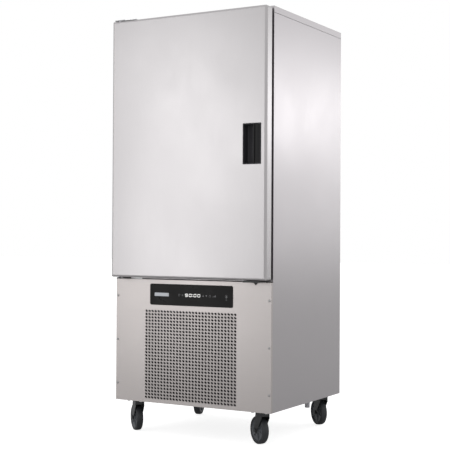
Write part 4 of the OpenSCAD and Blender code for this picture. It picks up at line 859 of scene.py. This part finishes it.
groove = in_mm((8.0, 0.5), (8.4, 6.0), (11.4, 6.0), (11.8, 0.9))
section += [(left + x, front + y) for x, y in groove]
section += [(grip_high.x - 2 * mm, front + 0.9 * mm), (grip_high.x, front + 1.6 * mm),
            (grip_high.x, grip_high.y)]
soft = 0.5 * mm
ends = []
for z, shrink in ((grip_low.z, soft), (grip_low.z + soft, 0.0),
                  (grip_high.z - soft, 0.0), (grip_high.z, soft)):
    ends.append([grip.verts.new((x + (shrink if x < left + 5 * mm else 0), y, z)) for x, y in section])
for near, far in zip(ends, ends[1:]):
    band(grip, near, far)
grip.faces.new(ends[0])
grip.faces.new(ends[-1])
grip_piece = as_piece(grip, "handle_grip_bar", handle_black, "door", crease=30)
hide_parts("handle_grip")

# ---- Hinges and catch ----
# Pressed steel brackets screwed to the cabinet's face, whose pins turn in plastic bushes in the door.
# Each is painted over its pin, the upper grey as painted light and the lower black as painted shade, and a
# plain zinc strip runs on from it.
paint_end = -324 * mm
ZINC = (0.78, 0.78, 0.79, 1)


def painted_bracket(name, paint):
    """Paint over the pin, bare zinc beyond it."""
    bracket_paint = finish_of(name, moulded_skin, {
        "Body colour": (paint, paint, paint * 1.02, 1), "Edge colour": (0.4, 0.4, 0.4, 1),
        "Pebble scale": 600.0, "Base roughness": 0.4}, 0.2)
    tree = bracket_paint.node_tree
    bare = sum_of(tree, "GREATER_THAN", place_in(tree)["X"], paint_end)
    shader = tree.nodes["Principled BSDF"]
    tree.links.new(blend(tree, bare, effect_colour(tree), ZINC), shader.inputs["Base Color"])
    tree.links.new(sum_of(tree, "MULTIPLY", bare, 0.85), shader.inputs["Metallic"])
    return bracket_paint


# One paint in two copies: lighter on the upper bracket as painted light, darker on the lower as painted shade
dress(painted_bracket("bracket_paint_lit", 0.52), "top_hinge", edge=0.8)
dress(painted_bracket("bracket_paint_shaded", 0.04), "bottom_hinge", edge=0.8)
dress(drain_plastic, "hinge_bushes", edge=0.3)
dress(black_moulding, "door_catch", edge=0.6)
hinge_screws = bmesh.new()
CROSS_HEAD = in_mm((0, -0.9), (1.6, -0.9), (1.9, -1.9), (3.2, -1.7), (4.2, -0.7), (4.4, 0.3), (0, 0.3))
for node in ("top_hinge", "bottom_hinge"):
    hinge_low, hinge_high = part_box(node)
    z = hinge_high.z - 8.5 * mm if node == "top_hinge" else hinge_low.z + 8.5 * mm
    for x in (hinge_high.x - 10 * mm, hinge_high.x - 38 * mm, hinge_high.x - 66 * mm):
        turned(hinge_screws, CROSS_HEAD, Vector((x, hinge_high.y - 2 * mm, z)), (0, 1, 0), 20)
as_piece(hinge_screws, "hinge_screw_heads", thumb_steel, "cabinet")

# ---- Casters ----
# Swivel casters: a pressed plate, a ball race, a fork and a wheel with a rubber tread on a moulded core.
# Four hexagon bolts hold each plate under the base pan.
fork_steel = finish_of("fork_steel", moulded_skin, {
    "Body colour": (0.020, 0.021, 0.023, 1), "Edge colour": (0.16, 0.16, 0.17, 1),
    "Pebble scale": 500.0, "Base roughness": 0.4}, 0.2)
tread_rubber = finish_of("tread_rubber", moulded_skin, {
    "Body colour": (0.024, 0.026, 0.030, 1), "Edge colour": (0.08, 0.08, 0.085, 1),
    "Pebble scale": 400.0, "Base roughness": 0.55}, 0.4)
wheel_core = finish_of("wheel_core", moulded_skin, {
    "Body colour": (0.105, 0.112, 0.125, 1), "Edge colour": (0.22, 0.23, 0.24, 1),
    "Pebble scale": 600.0, "Base roughness": 0.4}, 0.3)
dress(fork_steel, "caster_plates", edge=0.8)
joints = {joint["name"]: joint for joint in frame["joints"]}
CORNERS = ("front_right", "front_left", "rear_right", "rear_left")
WASHER = in_mm((0, 0.2), (8, 0.2), (8, -1.2), (7.6, -1.4), (0, -1.4))
HEXAGON = in_mm((0, -1.3), (7.0, -1.3), (7.0, -4.6), (6.2, -5.2), (0, -5.2))
plates_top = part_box("caster_plates")[1].z
bolts = bmesh.new()
for corner in CORNERS:
    swivel = Vector(joints["swivel_" + corner]["pos_m"])
    for x in (-33, 33):
        for y in (-29, 29):
            at = Vector((swivel.x + x * mm, swivel.y + y * mm, plates_top - 4 * mm))
            turned(bolts, WASHER, at, (0, 0, 1), 28)
            turned(bolts, HEXAGON, at, (0, 0, 1), 6)
as_piece(bolts, "caster_plate_bolts", thumb_steel, "cabinet", crease=25)
# Half of a wheel's section in millimetres: radius and distance from the wheel's middle
CORE = [(5.1, 17), (13, 17), (15.2, 16), (16, 14), (16.5, 10.5), (19, 8.6), (24, 8), (38, 8),
        (43, 8.8), (45.5, 11)]
TREAD = [(46.5, 13.6), (48, 14.6), (50, 15), (54.5, 15), (57.6, 13.8), (59.2, 11.2), (59.8, 7), (60, 2.5)]
half_section = CORE + TREAD
wheel_section = in_mm(*((r, -x) for r, x in half_section), *((r, x) for r, x in reversed(half_section)))
wheel_section.append(wheel_section[0])
moulding, rubber = 0, 1
band_kinds = [moulding] * len(CORE) + [rubber] * (2 * len(TREAD) - 1) + [moulding] * (len(CORE) + 1)
# A rib of the core: corners by radius, place across and distance from the middle, then its six faces
SPOKE = ((17, -2.6, 8), (17, 2.6, 8), (45, 1.6, 8), (45, -1.6, 8),
         (16, -1.8, 14.5), (16, 1.8, 14.5), (45.5, 1.0, 11), (45.5, -1.0, 11))
BLOCK = ((0, 1, 2, 3), (4, 5, 6, 7), (0, 1, 5, 4), (1, 2, 6, 5), (2, 3, 7, 6), (3, 0, 4, 7))
for corner in CORNERS:
    axle = Vector(joints["roll_" + corner]["axis"]).normalized()
    centre = Vector(joints["roll_" + corner]["pos_m"])
    wheel = bmesh.new()
    turned(wheel, wheel_section, centre, axle, 56, band_kinds)
    for spoke in range(6):
        turn = Matrix.Rotation(spoke * math.pi / 3, 3, axle)
        out = turn @ axle.orthogonal().normalized()
        wide = axle.cross(out).normalized()
        for face in (-1, 1):
            points = [wheel.verts.new(centre + out * r * mm + wide * w * mm + axle * face * h * mm)
                      for r, w, h in SPOKE]
            for flat in BLOCK:
                wheel.faces.new([points[i] for i in flat])
    wheel_piece = as_piece(wheel, "wheel_" + corner + "_turned", [wheel_core, tread_rubber],
                           "roller_" + corner)
    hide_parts("wheel_" + corner)
    dress(fork_steel, "fork_" + corner, edge=1.0)

# ---- Studio ----
# A plain pale floor, a white surround, four soft boxes for the door and four for the side.
# None of it belongs to the object.
floor_half = 30.0
ground = bmesh.new()
ground.faces.new([ground.verts.new((x * floor_half, y * floor_half, 0))
                  for x, y in ((-1, -1), (1, -1), (1, 1), (-1, 1))])
ground_mesh = bpy.data.meshes.new("floor")
ground.to_mesh(ground_mesh)
ground.free()
floor = bpy.data.objects.new("floor", ground_mesh)
bpy.context.scene.collection.objects.link(floor)
floor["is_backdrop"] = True
floor_paint = bpy.data.materials.new("floor_paint")
floor_paint.use_nodes = True
tree = floor_paint.node_tree
shader = tree.nodes["Principled BSDF"]
shader.inputs["Base Color"].default_value = (0.80, 0.80, 0.80, 1)
shader.inputs["Roughness"].default_value = 0.9
shader.inputs["Emission Color"].default_value = (1, 1, 1, 1)
rays = tree.nodes.new("ShaderNodeLightPath")
seen = sum_of(tree, "MAXIMUM", rays.outputs["Is Camera Ray"], rays.outputs["Is Transmission Ray"])
mirrored = sum_of(tree, "MULTIPLY", rays.outputs["Is Glossy Ray"], 0.06)
whitened = sum_of(tree, "MULTIPLY_ADD", seen, 0.81, mirrored)
tree.links.new(whitened, shader.inputs["Emission Strength"])
ground_mesh.materials.append(floor_paint)

world = bpy.data.worlds.new("studio")
bpy.context.scene.world = world
world.use_nodes = True
tree = world.node_tree
surround = tree.nodes["Background"]
rays = tree.nodes.new("ShaderNodeLightPath")
seen = sum_of(tree, "MAXIMUM", rays.outputs["Is Camera Ray"], rays.outputs["Is Glossy Ray"])
seen = sum_of(tree, "MAXIMUM", seen, rays.outputs["Is Transmission Ray"])
strength = sum_of(tree, "MULTIPLY_ADD", seen, 0.4, 0.6)
tree.links.new(strength, surround.inputs["Strength"])
surround.inputs["Color"].default_value = (1, 1, 1, 1)


def soft_box(name, place, target, size, power):
    """A lamp of a size in metres, turned to a target and itself unseen."""
    lamp = bpy.data.lights.new(name, "AREA")
    lamp.shape = "RECTANGLE"
    lamp.size, lamp.size_y = size
    lamp.energy = power
    holder = bpy.data.objects.new(name, lamp)
    holder.location = place
    holder.rotation_euler = (Vector(target) - Vector(place)).to_track_quat("-Z", "Y").to_euler()
    holder.visible_camera = False
    bpy.context.scene.collection.objects.link(holder)


FRONT_AIM, SIDE_AIM = (0, -0.38, 1.2), (0.395, 0, 1.0)
soft_box("front_box_low", (-2.6, -4.4, 0.3), FRONT_AIM, (0.45, 0.6), 6.5)
soft_box("front_box_waist", (-2.6, -4.4, 1.0), FRONT_AIM, (0.45, 0.6), 4.8)
soft_box("front_box_inner", (-2.2, -4.4, 1.7), FRONT_AIM, (0.45, 0.6), 6.3)
soft_box("front_box_high", (-2.6, -4.4, 2.4), FRONT_AIM, (0.45, 0.6), 5.3)
soft_box("side_box_near", (2.0, 4.4, 1.5), SIDE_AIM, (0.45, 0.6), 1.5)
soft_box("side_box_low", (2.7, 4.4, 1.0), SIDE_AIM, (0.45, 0.6), 1.9)
soft_box("side_box_middle", (2.7, 4.4, 2.0), SIDE_AIM, (0.45, 0.6), 7.1)
soft_box("side_box_high", (3.4, 4.4, 2.5), SIDE_AIM, (0.45, 0.6), 4.9)

camera = bpy.data.objects.new("camera", bpy.data.cameras.new("camera"))
bpy.context.scene.collection.objects.link(camera)
camera.data.lens = 85.87
camera.data.sensor_width = 36.0
camera.data.clip_end = 100.0
azimuth, pitch, roll = math.radians(29.877), math.radians(0.654), math.radians(0.298)
camera.location = (2.456, -4.305, 0.882)
camera.rotation_euler = (Matrix.Rotation(azimuth, 3, "Z") @ Matrix.Rotation(math.pi / 2 + pitch, 3, "X")
                         @ Matrix.Rotation(roll, 3, "Z")).to_euler()
bpy.context.scene.camera = camera
bpy.context.scene.view_settings.view_transform = "Standard"

low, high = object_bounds()
